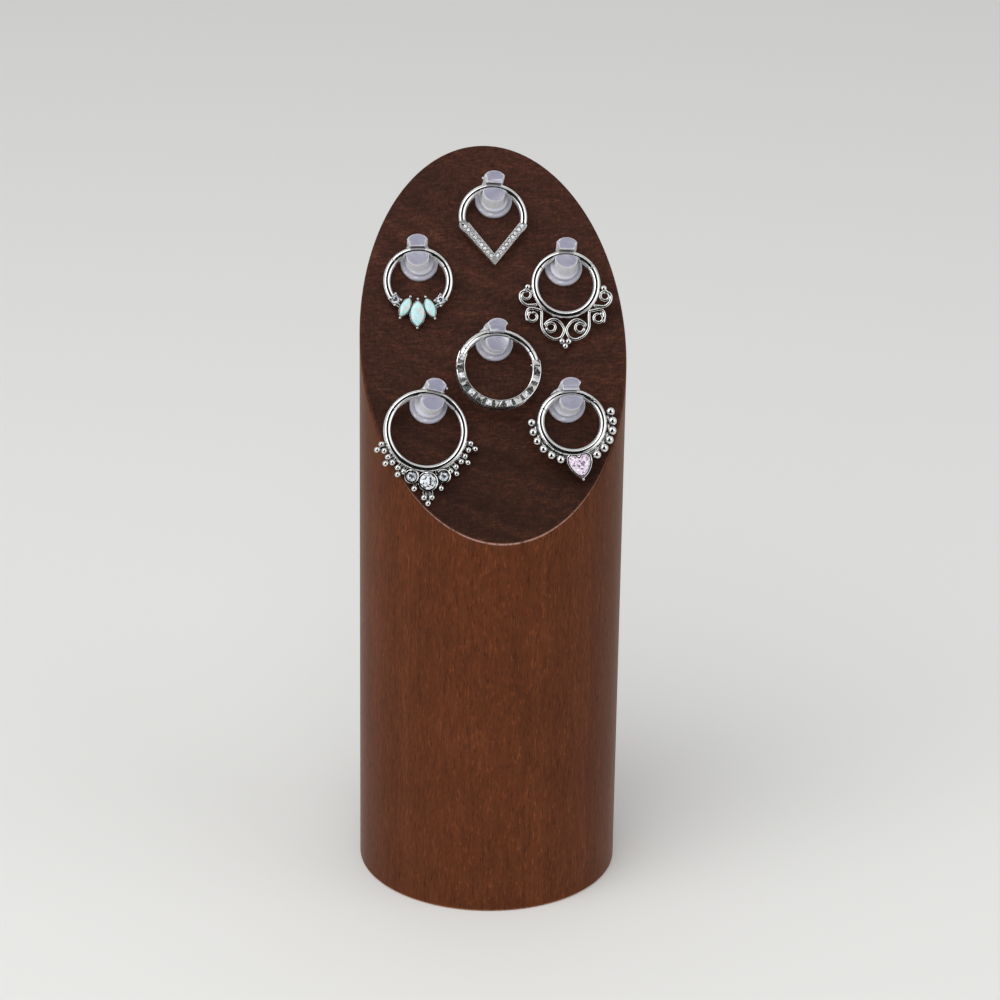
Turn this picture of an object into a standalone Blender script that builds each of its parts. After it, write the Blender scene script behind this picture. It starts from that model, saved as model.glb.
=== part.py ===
"""Body jewelry display stand: a slant-cut wood block, six silicone holders and the six rings they grip.

Units are metres, +Z is up, and the origin is the centre of the block's foot. The slanted face is turned
towards -Y.
"""

import math
from collections import namedtuple

import bmesh
import bpy
from mathutils import Matrix, Vector

MM = 0.001

# Wood block
BLOCK_DIAMETER = 40.0 * MM
FRONT_HEIGHT = 61.4 * MM
CUT_ANGLE = math.radians(50.8)
RIM_CHAMFER = 0.35 * MM
FOOT_CHAMFER = 0.4 * MM
BLOCK_SIDES = 80

# Silicone holder: lengths along its own axis are measured from the wood
SEAT_GAP = 0.03 * MM
FLANGE_DIAMETER = 5.6 * MM
FLANGE_THICKNESS = 0.7 * MM
FLANGE_ROUNDING = 0.2 * MM
BOSS_DIAMETER = 4.3 * MM
BOSS_TOP = 1.3 * MM
STEM_WIDTH = 3.4 * MM
HEAD_RISE = 1.4 * MM
LOWER_JAW_TOP = 3.8 * MM
HEAD_TOP = 4.4 * MM
JAW_ROUNDING = 0.25 * MM
SLOT_RISE = 1.2 * MM
SLOT_DEPTH_CENTRE = 2.5 * MM
SLOT_CLEARANCE = 0.05 * MM
SLOT_FLOOR_CLEARANCE = 0.1 * MM
SLOT_REACH = 0.75
PLUG_DIAMETER = 3.4 * MM
PLUG_LENGTH = 4.0 * MM
PLUG_CLEARANCE = 0.1 * MM
HOLE_SPARE_DEPTH = 0.3 * MM
HOLDER_STEPS = 18

# Ring wire, its hinge and its snap
WIRE_DIAMETER = 1.2 * MM
WIRE_SIDES = 10
THIN_WIRE_SIDES = 8
ARC_STEP = 12.5
KNUCKLE_SIDES = 20
KNUCKLE_GAP = 0.06 * MM
KNUCKLE_START = 0.02 * MM
HORN_START = 0.45 * MM
TONGUE_DIAMETER = 1.0 * MM
TONGUE_THICKNESS = 0.4 * MM
TONGUE_WEB = 0.8 * MM
TONGUE_WEB_INSET = 0.008 * MM
TONGUE_ROOT = 0.4 * MM
FORK_SLOT = 0.5 * MM
PIN_DIAMETER = 0.4 * MM
PIN_LENGTH = 1.1 * MM
PIN_SIDES = 12
PIN_CLEARANCE = 0.04 * MM
SEAM_GAP = 0.06 * MM
NUB_DIAMETER = 0.56 * MM
NUB_RISE = 0.14 * MM
NUB_CLEARANCE = 0.12 * MM
STONE_GAP = 0.04 * MM
TABLE_SHARE = 0.58
CROWN_RISE = 0.30
POINT_DROP = 0.80

# Teardrop ring at the top
TEARDROP_TIP = 7.5 * MM
TEARDROP_INNER_TIP = 5.76 * MM
TEARDROP_SHOULDER = ((109, 0.0), (114, -0.15), (121, -0.37))
TEARDROP_THICKNESS = 1.1 * MM
PAVE_STONE = 0.62 * MM
PAVE_PITCH = 0.74 * MM
PAVE_PER_ARM = 9
PAVE_DEPTH = 0.35 * MM

# Opal ring at the upper left
CLAW_ANGLE = 131.0
CLAW_REACH = 4.5 * MM
CLAW_BOX = 1.45 * MM
CLAW_BEAD = 0.5 * MM
CLAW_SPREAD = 0.46
ROUND_STONE = 1.2 * MM
ROUND_GIRDLE = 0.6 * MM
ROUND_SEAT = 0.52 * MM
FAN_ANGLE = 24.5
OPAL_CENTRE_REACH = 5.02 * MM
OPAL_SIDE_REACH = 4.5 * MM
OPAL_CENTRE_LENGTH = 3.9 * MM
OPAL_CENTRE_WIDTH = 2.15 * MM
OPAL_SIDE_LENGTH = 3.1 * MM
OPAL_SIDE_WIDTH = 1.45 * MM
OPAL_HEIGHT = 0.6 * MM
OPAL_STEPS = ((0.12, 0.3), (0.17, 0.12))
OPAL_PLATE_TOP = 0.2 * MM
OPAL_PLATE_BACK = -0.3 * MM
OPAL_PLATE_SHARE = 0.8
OPAL_CLAW = 0.42 * MM
OPAL_CLAW_TOP = 0.6 * MM
BRIDGE_WIRE = 0.7 * MM
BRIDGE_DROP = -0.2 * MM
BRIDGE_LAP = 4.0

# Filigree ring at the upper right
SCROLL_WIRE = 0.5 * MM
SCROLL_RING = 0.72 * MM
FILIGREE_BEAD = 0.98 * MM
FILIGREE_TIP = 4.2 * MM
SCROLL_DRAW = 0.1
# Angles from the ring's top, and millimetres outside its wire
UPPER_STROKE = ((101, 0.7), (100.5, 1.3), (104, 1.75), (111, 1.85), (119, 1.4), (126, 0.15))
LOWER_STROKE = ((138, 0.15), (132.5, 0.5), (127, 0.9), (125, 1.5), (128, 2.15), (134, 2.7))
HEART_STROKE = (
    (139, 0.15), (145, 0.9), (149, 1.7), (153, 2.35), (160, 3.0), (168.5, 3.3), (175, 2.95), (178.1, 2.1),
    (178, 1.44), (172, 0.6), (165, 0.3), (159, 0.55), (155, 1.1), (154, 1.6),
)
CURLS = (((105.6, 0.85), 70, 320), ((135.7, 1.78), 60, -320), ((161.8, 1.7), 20, 320))
FILIGREE_BEADS = ((95.0, 0.45), (176.8, 3.5))

# Studded band ring at the centre
BAND_WIDTH = 1.28 * MM
BAND_THICKNESS = 1.2 * MM
BAND_STEP = 7.5
BAND_START = 76.0
BAND_STOP = 8.0
BAND_LAP = 3.0
BAND_PITCH = 30.0
FIRST_STUD = 79.0
FIRST_STUD_SHARE = 0.8
STUD_START = 90.0
STUDS = 7
STUD_BASE = 1.13 * MM
STUD_HEIGHT = 0.5 * MM
STUD_TOP_SHARE = 0.1
STUD_SINK = 0.02 * MM
SQUARE_STONE = 0.94 * MM
SQUARE_DEPTH = 0.4 * MM
SQUARE_TABLE_SHARE = 0.6

# Beaded ring with three bezels at the lower left
SMALL_BEAD = 0.88 * MM
BEZEL_LARGE = 3.0 * MM
BEZEL_SMALL = 2.1 * MM
BEZEL_WALL = 0.25 * MM
BEZEL_BACK = 0.5 * MM
BEZEL_RIM = 0.6 * MM
BEZEL_SEAT = -0.4 * MM
NECK_WIDTH = 0.42 * MM
NECK_HEIGHT = 0.44 * MM
NECK_MIDDLE = -0.1 * MM
# Angles from the ring's top, and millimetres outside its wire
BEZEL_BEADS = (
    (106.5, 0.6), (110.9, 1.49), (115.4, 0.6), (124.1, 0.6), (128.4, 1.49), (132.7, 0.61), (141.7, 0.66),
    (146.0, 1.52), (150.4, 0.69),
)
BEZEL_DROPS = ((167.0, 2.56), (176.6, 3.69))
BEZEL_TIP = 4.56 * MM
BEZELS = ((180.0, 1.39, BEZEL_LARGE), (160.9, 0.97, BEZEL_SMALL), (199.1, 0.97, BEZEL_SMALL))

# Beaded ring with a heart at the lower right
LARGE_BEAD = 1.3 * MM
LARGE_BEAD_REACH = 0.78 * MM
LARGE_BEAD_PITCH = 14.3
LARGE_BEAD_FIRST = 81.7
LARGE_BEADS_A_SIDE = 6
SOLDER_WIRE = 0.56 * MM
SOLDER_REACH = 0.12 * MM
SOLDER_DROP = -0.28 * MM
# Right half of the heart's outline, in millimetres, from the tip up
HEART_HALF = (
    (0.0, -8.95), (0.95, -8.12), (1.6, -7.1), (1.88, -6.05), (1.68, -5.2), (1.0, -4.84), (0.32, -5.06),
)
HEART_NOTCH = (0.0, -5.35)
HEART_WALL = 0.2 * MM
HEART_BACK = -0.5 * MM
HEART_SEAT = -0.25 * MM
HEART_RIM = 0.35 * MM
HEART_STONE_TOP = 0.5 * MM
HEART_FACET = 0.35 * MM
HEART_PRONG = 0.4 * MM
HEART_PRONG_FOOT = 0.25 * MM
HEART_PRONG_LEAN = 0.05 * MM

# Where each holder stands on the slanted face, how it leans, and the ring that it grips. across and upslope
# are measured from the face's centre, as shares of its half width and half length, and shift is how far the
# stem's foot stands to the right of its flange's centre. twist and turn are clockwise from upslope, lift
# raises the ring's lower end off the wood, and the seams are angles from the ring's top to its two seams.
Place = namedtuple(
    "Place",
    "name across upslope shift twist lean_side lean_up bore lift turn hinge_side seam_left seam_right",
)
SMALL_BORE = 8.15 * MM
LARGE_BORE = 10.25 * MM
PLACES = {
    place.name: place
    for place in (
        Place("top", 0.065, 0.7047, -0.25 * MM, 4, 1, 3.5, SMALL_BORE, -6, 0.6, -1, 104, 104),
        Place("upper_left", -0.525, 0.3944, -0.25 * MM, 2, -4, 2, SMALL_BORE, -7.5, 4.1, -1, 52, 62),
        Place("upper_right", 0.5625, 0.3539, 0.25 * MM, 5, -2.5, 8, SMALL_BORE, -5.5, 4.1, 1, 57, 57),
        Place("centre", 0.004, -0.0133, 0.0, 1, 3, -12, LARGE_BORE, 1.5, 4, -1, 60, 60),
        Place("lower_left", -0.5155, -0.3144, 0.25 * MM, 14, 3.5, -3, LARGE_BORE, -6, 0.5, -1, 56, 56),
        Place("lower_right", 0.517, -0.3271, 0.3 * MM, 0, 0, -4.5, SMALL_BORE, 1, -6.9, 1, 57, 57),
    )
}

# Values that follow from the sizes above
BLOCK_RADIUS = BLOCK_DIAMETER / 2
FACE_HALF_LENGTH = BLOCK_RADIUS / math.cos(CUT_ANGLE)
FACE_CENTRE_HEIGHT = FRONT_HEIGHT + BLOCK_RADIUS * math.tan(CUT_ANGLE)
BLOCK_TOP = FRONT_HEIGHT + BLOCK_DIAMETER * math.tan(CUT_ANGLE)
WIRE_RADIUS = WIRE_DIAMETER / 2
HEAD_CENTRE = SLOT_RISE + WIRE_RADIUS
KNUCKLE_REACH = WIRE_RADIUS + KNUCKLE_GAP

COLOURS = {
    "wood": ((0.155, 0.045, 0.018), 0.45, 0.0, 1.0),
    "silicone": ((0.78, 0.77, 0.88), 0.35, 0.0, 0.6),
    "steel": ((0.80, 0.80, 0.78), 0.12, 1.0, 1.0),
    "crystal": ((0.93, 0.95, 1.0), 0.03, 0.0, 0.6),
    "opal": ((0.70, 0.93, 0.90), 0.15, 0.0, 1.0),
    "pink_crystal": ((0.93, 0.80, 0.95), 0.03, 0.0, 0.6),
}


def clear_scene():
    for obj in list(bpy.data.objects):
        bpy.data.objects.remove(obj)


def new_collection(name):
    collection = bpy.data.collections.new(name)
    bpy.context.scene.collection.children.link(collection)
    return collection


clear_scene()
PARTS = new_collection("body_jewelry_display_stand")
CUTTERS = new_collection("cutters")


def finish(kind, name):
    """A material of its own for one part, in one of the object's finishes."""
    colour, roughness, metallic, alpha = COLOURS[kind]
    material = bpy.data.materials.new(name)
    material.use_nodes = True
    shader = material.node_tree.nodes["Principled BSDF"]
    shader.inputs["Base Color"].default_value = (*colour, 1.0)
    shader.inputs["Roughness"].default_value = roughness
    shader.inputs["Metallic"].default_value = metallic
    shader.inputs["Alpha"].default_value = alpha
    material.diffuse_color = (*colour, alpha)
    return material


def empty(name, matrix, parent=None):
    """A frame to hang parts on. matrix is relative to the parent."""
    obj = bpy.data.objects.new(name, None)
    obj.empty_display_size = 2 * MM
    PARTS.objects.link(obj)
    obj.parent = parent
    obj.matrix_local = matrix
    return obj


def object_of(name, bm, weld=None):
    """A scratch object holding a bmesh, which is freed."""
    if weld:
        bmesh.ops.remove_doubles(bm, verts=bm.verts, dist=weld)
    bmesh.ops.recalc_face_normals(bm, faces=bm.faces)
    if bm.calc_volume(signed=True) < 0:
        bmesh.ops.reverse_faces(bm, faces=bm.faces)
    mesh = bpy.data.meshes.new(name)
    bm.to_mesh(mesh)
    bm.free()
    obj = bpy.data.objects.new(name, mesh)
    CUTTERS.objects.link(obj)
    return obj


def baked(obj, weld=None):
    """Puts the mesh that an object's modifiers or curve make in a new object, and removes the old one."""
    bpy.context.view_layer.update()
    evaluated = obj.evaluated_get(bpy.context.evaluated_depsgraph_get())
    mesh = bpy.data.meshes.new_from_object(evaluated)
    name = obj.name
    bpy.data.objects.remove(obj)
    bm = bmesh.new()
    bm.from_mesh(mesh)
    bpy.data.meshes.remove(mesh)
    return object_of(name, bm, weld)


def combine(base, others, operation, solver="EXACT"):
    """Joins the others to the base, or cuts them from it, and removes them."""
    for other in others:
        modifier = base.modifiers.new(operation, "BOOLEAN")
        modifier.operation = operation
        modifier.solver = solver
        modifier.object = other
        base = baked(base)
        bpy.data.objects.remove(other)
    return base


def fused(base, *others):
    return combine(base, others, "UNION")


def cut(base, *others):
    return combine(base, others, "DIFFERENCE")


def decorated(body, adders, cutters=()):
    """Joins beads, wires and settings to a ring body, then cuts the stones' seats.

    So many small pieces meet at shallow angles that only the manifold solver keeps them closed.
    """
    body = combine(body, adders, "UNION", "MANIFOLD")
    return combine(body, cutters, "DIFFERENCE", "MANIFOLD")


def moved(obj, matrix):
    """Moves a scratch object's mesh itself, so that its object stays at the origin."""
    obj.data.transform(matrix)
    return obj


def as_part(obj, name, kind, parent, matrix=None):
    """Turns a scratch object into a named part under its parent, at matrix in the parent's frame."""
    CUTTERS.objects.unlink(obj)
    PARTS.objects.link(obj)
    obj.name = name
    obj.data.name = name
    obj.data.materials.clear()
    obj.data.materials.append(finish(kind, name))
    obj.data.shade_smooth()
    obj.data.set_sharp_from_angle(angle=math.radians(35))
    obj.parent = parent
    obj.matrix_local = matrix or Matrix.Identity(4)
    return obj


def at(x=0.0, y=0.0, z=0.0):
    return Matrix.Translation((x, y, z))


def turned_by(degrees, axis="Z"):
    return Matrix.Rotation(math.radians(degrees), 4, axis)


def on_ring(angle, radius, z=0.0):
    """A point at an angle, clockwise from the ring's top, with its Y axis away from the ring's centre."""
    return turned_by(-angle) @ at(0.0, radius, z)


def cylinder(diameter, low, high, sides=16):
    bm = bmesh.new()
    bmesh.ops.create_cone(
        bm, cap_ends=True, segments=sides, radius1=diameter / 2, radius2=diameter / 2, depth=high - low
    )
    return moved(object_of("cylinder", bm), at(z=(low + high) / 2))


def box(width, depth, height):
    bm = bmesh.new()
    bmesh.ops.create_cube(bm, size=1.0)
    return moved(object_of("box", bm), Matrix.Diagonal((width, depth, height, 1.0)))


def ball(diameter, across=8, up=5):
    bm = bmesh.new()
    bmesh.ops.create_uvsphere(bm, u_segments=across, v_segments=up, radius=diameter / 2)
    return object_of("ball", bm)


def extruded(points, low, high):
    """A closed flat outline, as a filled 2D curve extruded from low to high."""
    curve = bpy.data.curves.new("outline", "CURVE")
    curve.dimensions = "2D"
    curve.fill_mode = "BOTH"
    curve.extrude = (high - low) / 2
    spline = curve.splines.new("POLY")
    spline.points.add(len(points) - 1)
    for point, (x, y) in zip(spline.points, points):
        point.co = (x, y, 0.0, 1.0)
    spline.use_cyclic_u = True
    obj = bpy.data.objects.new("outline", curve)
    CUTTERS.objects.link(obj)
    return moved(baked(obj, weld=1e-7), at(z=(low + high) / 2))


def turned(profile, steps, name="turned"):
    """A profile of (radius, height) pairs, from the top down, turned about Z by a Screw modifier."""
    bm = bmesh.new()
    points = [bm.verts.new((radius, 0.0, height)) for radius, height in profile]
    for first, second in zip(points, points[1:]):
        bm.edges.new((first, second))
    mesh = bpy.data.meshes.new(name)
    bm.to_mesh(mesh)
    bm.free()
    obj = bpy.data.objects.new(name, mesh)
    CUTTERS.objects.link(obj)
    screw = obj.modifiers.new("turn", "SCREW")
    screw.steps = steps
    screw.render_steps = steps
    screw.use_merge_vertices = True
    screw.merge_threshold = 1e-7
    return baked(obj, weld=1e-7)


def tube(points, diameter, resolution=1):
    """A round wire along points, as a bevelled curve with filled caps."""
    curve = bpy.data.curves.new("wire", "CURVE")
    curve.dimensions = "3D"
    curve.bevel_depth = diameter / 2
    curve.bevel_resolution = resolution
    curve.use_fill_caps = True
    spline = curve.splines.new("POLY")
    spline.points.add(len(points) - 1)
    for point, co in zip(spline.points, points):
        point.co = (*co, 1.0)
    obj = bpy.data.objects.new("wire", curve)
    CUTTERS.objects.link(obj)
    return baked(obj, weld=1e-7)


def smooth_path(points, steps=4):
    """Points on a smooth curve through the given ones (Catmull-Rom)."""
    given = [Vector(p) for p in points]
    ends = [2 * given[0] - given[1], *given, 2 * given[-1] - given[-2]]
    path = []
    for a, b, c, d in zip(ends, ends[1:], ends[2:], ends[3:]):
        for n in range(steps):
            t = n / steps
            bend = (2 * a - 5 * b + 4 * c - d) * t**2 + (3 * b - a - 3 * c + d) * t**3
            path.append(b + 0.5 * ((c - a) * t + bend))
    path.append(given[-1])
    return path


def swept_arc(profile, radius, start, end, step=ARC_STEP):
    """A profile of (outward, z) points swept round the ring's centre, clockwise, between two angles."""
    bm = bmesh.new()
    corners = [bm.verts.new((0.0, radius + outward, z)) for outward, z in profile]
    face = bm.faces.new(corners)
    bmesh.ops.rotate(bm, verts=bm.verts, cent=(0, 0, 0), matrix=turned_by(-start).to_3x3())
    steps = max(1, round((end - start) / step))
    bmesh.ops.spin(
        bm,
        geom=[face, *face.edges, *face.verts],
        cent=(0, 0, 0),
        axis=(0, 0, 1),
        angle=math.radians(-(end - start)),
        steps=steps,
        use_merge=False,
    )
    return object_of("arc", bm, weld=1e-7)


def round_profile(diameter, sides=WIRE_SIDES):
    return [
        (diameter / 2 * math.cos(2 * math.pi * n / sides), diameter / 2 * math.sin(2 * math.pi * n / sides))
        for n in range(sides)
    ]


def box_profile(width, thickness):
    x, z = width / 2, thickness / 2
    return [(-x, -z), (x, -z), (x, z), (-x, z)]


def face_frame():
    """The slanted face's centre, with X to the right, Y upslope and Z straight out of the wood."""
    return at(z=FACE_CENTRE_HEIGHT) @ Matrix.Rotation(CUT_ANGLE, 4, "X")


def holder_frame(place):
    return face_frame() @ at(place.across * BLOCK_RADIUS, place.upslope * FACE_HALF_LENGTH)


def stem_frame(place):
    """The stem's axes, in the holder's frame: twisted, then leaning sideways and upslope."""
    lean = turned_by(-place.lean_up, "X") @ turned_by(place.lean_side, "Y") @ turned_by(-place.twist)
    return at(x=place.shift, z=FLANGE_THICKNESS) @ lean @ at(z=-FLANGE_THICKNESS)


def grip_frame(place):
    """The middle of the gripped wire in the stem's frame: X runs along the slot, the ring hangs down -Y."""
    return at(0.0, SLOT_RISE, SLOT_DEPTH_CENTRE) @ turned_by(place.lean_up - place.lift, "X")


def wire_path_radius(place):
    return place.bore / 2 + WIRE_RADIUS


def ring_in_grip(place):
    """The ring's centre, with -Y along the axis of its decoration, in the grip's frame."""
    return at(y=-wire_path_radius(place)) @ turned_by(place.twist - place.turn)


def wood_block():
    """The round bar with its slanted cut, chamfered edges and a blind hole for each holder's plug."""
    bm = bmesh.new()
    bmesh.ops.create_cone(
        bm,
        cap_ends=True,
        segments=BLOCK_SIDES,
        radius1=BLOCK_RADIUS,
        radius2=BLOCK_RADIUS,
        depth=3 * BLOCK_TOP,
    )
    everything = [*bm.verts, *bm.edges, *bm.faces]
    bmesh.ops.bisect_plane(bm, geom=everything, plane_co=(0, 0, 0), plane_no=(0, 0, -1), clear_outer=True)
    everything = [*bm.verts, *bm.edges, *bm.faces]
    face = face_frame()
    normal = face.to_3x3() @ Vector((0, 0, 1))
    bmesh.ops.bisect_plane(
        bm, geom=everything, plane_co=face.translation, plane_no=normal, clear_outer=True
    )
    bmesh.ops.holes_fill(bm, edges=[edge for edge in bm.edges if edge.is_boundary])
    bmesh.ops.recalc_face_normals(bm, faces=bm.faces)
    level = normal.dot(face.translation)
    rim = [edge for edge in bm.edges if all(abs(v.co.dot(normal) - level) < 1e-6 for v in edge.verts)]
    foot = [edge for edge in bm.edges if all(abs(v.co.z) < 1e-6 for v in edge.verts)]
    bmesh.ops.bevel(bm, geom=rim, offset=RIM_CHAMFER, offset_type="OFFSET", segments=1, affect="EDGES")
    foot = [edge for edge in foot if edge.is_valid]
    bmesh.ops.bevel(bm, geom=foot, offset=FOOT_CHAMFER, offset_type="OFFSET", segments=1, affect="EDGES")
    block = object_of("wood_block", bm)
    for place in PLACES.values():
        depth = PLUG_LENGTH + HOLE_SPARE_DEPTH
        hole = cylinder(PLUG_DIAMETER + 2 * PLUG_CLEARANCE, -depth, 2 * FLANGE_THICKNESS)
        hole.name = f"hole_{place.name}"
        hole.matrix_world = holder_frame(place)
        hole.hide_render = True
        hole.display_type = "WIRE"
        modifier = block.modifiers.new(hole.name, "BOOLEAN")
        modifier.operation = "DIFFERENCE"
        modifier.solver = "EXACT"
        modifier.object = hole
    return as_part(block, "wood_block", "wood", None)


def rim_edges(bm, height):
    """The sharp edges of an extruded outline's face at a height."""
    edges = [edge for edge in bm.edges if all(abs(v.co.z - height) < 1e-6 for v in edge.verts)]
    return [edge for edge in edges if edge.calc_face_angle() > math.radians(30)]


def stadium(width, low, high, rise, steps=8):
    """An upright outline: a half circle below the lower height, and a half ellipse above the higher one."""
    radius = width / 2
    points = []
    for centre, first, reach in ((high, 0, rise), (low, 180, radius)):
        for n in range(steps + 1):
            angle = math.radians(first + 180 * n / steps)
            points.append((radius * math.cos(angle), centre + reach * math.sin(angle)))
    return points


def slot_outline(place):
    """The slot through the stem: its floor follows the ring's inner edge, and its roof is flat."""
    inner = place.bore / 2 - SLOT_CLEARANCE
    centre = SLOT_RISE - wire_path_radius(place)
    roof = SLOT_RISE + WIRE_RADIUS + SLOT_CLEARANCE
    spread = math.asin(SLOT_REACH * STEM_WIDTH / inner)
    steps = 8
    points = []
    for n in range(steps + 1):
        angle = spread * (2 * n / steps - 1)
        points.append((inner * math.sin(angle), centre + inner * math.cos(angle)))
    half = points[-1][0]
    return [*points, (half, roof), (-half, roof)]


def holder(place):
    """A silicone holder: turned plug, flange and boss, and a stem split by a slot into jaw and head."""
    flange = FLANGE_DIAMETER / 2
    base = turned(
        [
            (0.0, BOSS_TOP),
            (BOSS_DIAMETER / 2, BOSS_TOP),
            (BOSS_DIAMETER / 2, FLANGE_THICKNESS),
            (flange - FLANGE_ROUNDING, FLANGE_THICKNESS),
            (flange, FLANGE_THICKNESS - FLANGE_ROUNDING),
            (flange, SEAT_GAP),
            (PLUG_DIAMETER / 2, SEAT_GAP),
            (PLUG_DIAMETER / 2, -PLUG_LENGTH + FLANGE_ROUNDING),
            (PLUG_DIAMETER / 2 - FLANGE_ROUNDING, -PLUG_LENGTH),
            (0.0, -PLUG_LENGTH),
        ],
        HOLDER_STEPS,
    )
    stem = extruded(stadium(STEM_WIDTH, 0.0, HEAD_CENTRE, HEAD_RISE), BOSS_TOP / 2, HEAD_TOP)
    bm = bmesh.new()
    bm.from_mesh(stem.data)
    bpy.data.objects.remove(stem)
    front = rim_edges(bm, HEAD_TOP)
    bmesh.ops.bevel(bm, geom=front, offset=JAW_ROUNDING, offset_type="OFFSET", segments=1, affect="EDGES")
    stem = object_of("stem", bm)
    slot_floor = SLOT_DEPTH_CENTRE - WIRE_RADIUS - SLOT_FLOOR_CLEARANCE
    stem = cut(stem, extruded(slot_outline(place), slot_floor, 2 * HEAD_TOP))
    jaw_trim = box(2 * STEM_WIDTH, 2 * STEM_WIDTH, HEAD_TOP)
    roof = SLOT_RISE + WIRE_RADIUS
    stem = cut(stem, moved(jaw_trim, at(0.0, roof - STEM_WIDTH, LOWER_JAW_TOP + HEAD_TOP / 2)))
    holder_body = fused(base, moved(stem, stem_frame(place)))
    return as_part(holder_body, f"holder_{place.name}", "silicone", None, holder_frame(place))


def hinge_angle(place):
    return place.hinge_side * (place.seam_right if place.hinge_side > 0 else place.seam_left)


def snap_angle(place):
    return -place.hinge_side * (place.seam_left if place.hinge_side > 0 else place.seam_right)


def along_wire(place, length):
    """The angle, in degrees, that a length of the ring's wire spans."""
    return math.degrees(length / wire_path_radius(place))


def pin_hole(place):
    hole = cylinder(PIN_DIAMETER + 2 * PIN_CLEARANCE, -WIRE_DIAMETER, WIRE_DIAMETER, PIN_SIDES)
    return moved(hole, on_ring(hinge_angle(place), wire_path_radius(place)))


def snap_ball(place, clearance):
    """The snap nub's ball, sunk into the wire's end so that NUB_RISE of it stands out towards the body."""
    radius = wire_path_radius(place)
    side = -place.hinge_side
    sunk = SEAM_GAP / 2 + NUB_DIAMETER / 2 - NUB_RISE
    shape = ball(NUB_DIAMETER + 2 * clearance, 10, 8)
    return moved(shape, on_ring(snap_angle(place) - side * along_wire(place, sunk), radius))


def segment(place, parent):
    """The plain wire that the holder grips, with the hinge's tongue at one end and the snap's nub at the
    other. Its hinge end is hollow, so that the body's rounded end turns in it.
    """
    radius = wire_path_radius(place)
    side = place.hinge_side
    hinge_end = hinge_angle(place) - side * along_wire(place, HORN_START)
    snap_end = snap_angle(place) + side * along_wire(place, SEAM_GAP / 2)
    low, high = sorted((hinge_end, snap_end))
    pivot = on_ring(hinge_angle(place), radius)
    hollow = cylinder(2 * KNUCKLE_REACH, -WIRE_DIAMETER, WIRE_DIAMETER, KNUCKLE_SIDES)
    wire = cut(swept_arc(round_profile(WIRE_DIAMETER), radius, low, high), moved(hollow, pivot))
    tongue = cylinder(TONGUE_DIAMETER, -TONGUE_THICKNESS / 2, TONGUE_THICKNESS / 2)
    web_length = KNUCKLE_REACH + TONGUE_ROOT
    web_thickness = TONGUE_THICKNESS - 2 * TONGUE_WEB_INSET
    web = moved(box(web_length, TONGUE_WEB, web_thickness), at(-side * web_length / 2))
    wire = fused(wire, moved(fused(tongue, web), pivot), snap_ball(place, 0.0))
    wire = cut(wire, pin_hole(place))
    moved(wire, ring_in_grip(place))
    return as_part(wire, f"{place.name}_segment", "steel", parent)


def body_start(place):
    """Where a ring body's wire starts and ends, clockwise. It passes its hinge by the knuckle's size."""
    snap = snap_angle(place)
    opening = along_wire(place, SEAM_GAP / 2)
    knuckle = along_wire(place, KNUCKLE_REACH)
    if place.hinge_side < 0:
        return snap + opening, 360 + hinge_angle(place) + knuckle
    return hinge_angle(place) - knuckle, 360 + snap - opening


def with_joints(body, place):
    """Rounds the body's end about the hinge, and cuts the fork, the pin's hole and the snap's recess."""
    pivot = on_ring(hinge_angle(place), wire_path_radius(place))
    knuckle = cylinder(WIRE_DIAMETER, -2 * WIRE_DIAMETER, 2 * WIRE_DIAMETER, KNUCKLE_SIDES)
    past_pivot = at(-place.hinge_side * (WIRE_DIAMETER + KNUCKLE_START))
    around = moved(box(2 * WIRE_DIAMETER, 2 * WIRE_DIAMETER, 2 * WIRE_DIAMETER), past_pivot)
    around = moved(cut(around, knuckle), pivot)
    fork = moved(cylinder(2 * KNUCKLE_REACH, -FORK_SLOT / 2, FORK_SLOT / 2, KNUCKLE_SIDES), pivot)
    return cut(body, around, fork, pin_hole(place), snap_ball(place, NUB_CLEARANCE))


def hinge_pin(place, parent):
    pin = cylinder(PIN_DIAMETER, -PIN_LENGTH / 2, PIN_LENGTH / 2, PIN_SIDES)
    return as_part(pin, f"{place.name}_hinge_pin", "steel", parent)


def brilliant(diameter, steps=8):
    """A round cut stone. Its girdle is at height 0, its table faces +Z and its point faces -Z."""
    radius = diameter / 2
    crown = CROWN_RISE * radius
    profile = [(0.0, crown), (TABLE_SHARE * radius, crown), (radius, 0.0), (0.0, -POINT_DROP * radius)]
    return turned(profile, steps)


def stone_seat(diameter, depth, steps=12):
    """The straight hole for a round stone whose girdle is at height 0."""
    return cylinder(diameter + 2 * STONE_GAP, -depth, depth, steps)


def add_stone(stone, name, kind, parent, place, matrix):
    """Sets a stone at matrix in its ring's frame, under the empty on the ring's hinge."""
    pivot = on_ring(hinge_angle(place), wire_path_radius(place))
    return as_part(stone, name, kind, parent, at(*(-pivot.translation)) @ matrix)


def add_body(body, place, parent):
    """Makes a finished ring body a part whose origin is on its hinge."""
    pivot = on_ring(hinge_angle(place), wire_path_radius(place))
    moved(body, at(*(-pivot.translation)))
    return as_part(body, f"{place.name}_ring_body", "steel", parent)


def soldered_at(outer, spots):
    """Points given by their angle from the ring's top and their millimetres outside its wire."""
    return [tuple(on_ring(angle, outer + reach * MM).translation) for angle, reach in spots]


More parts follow.
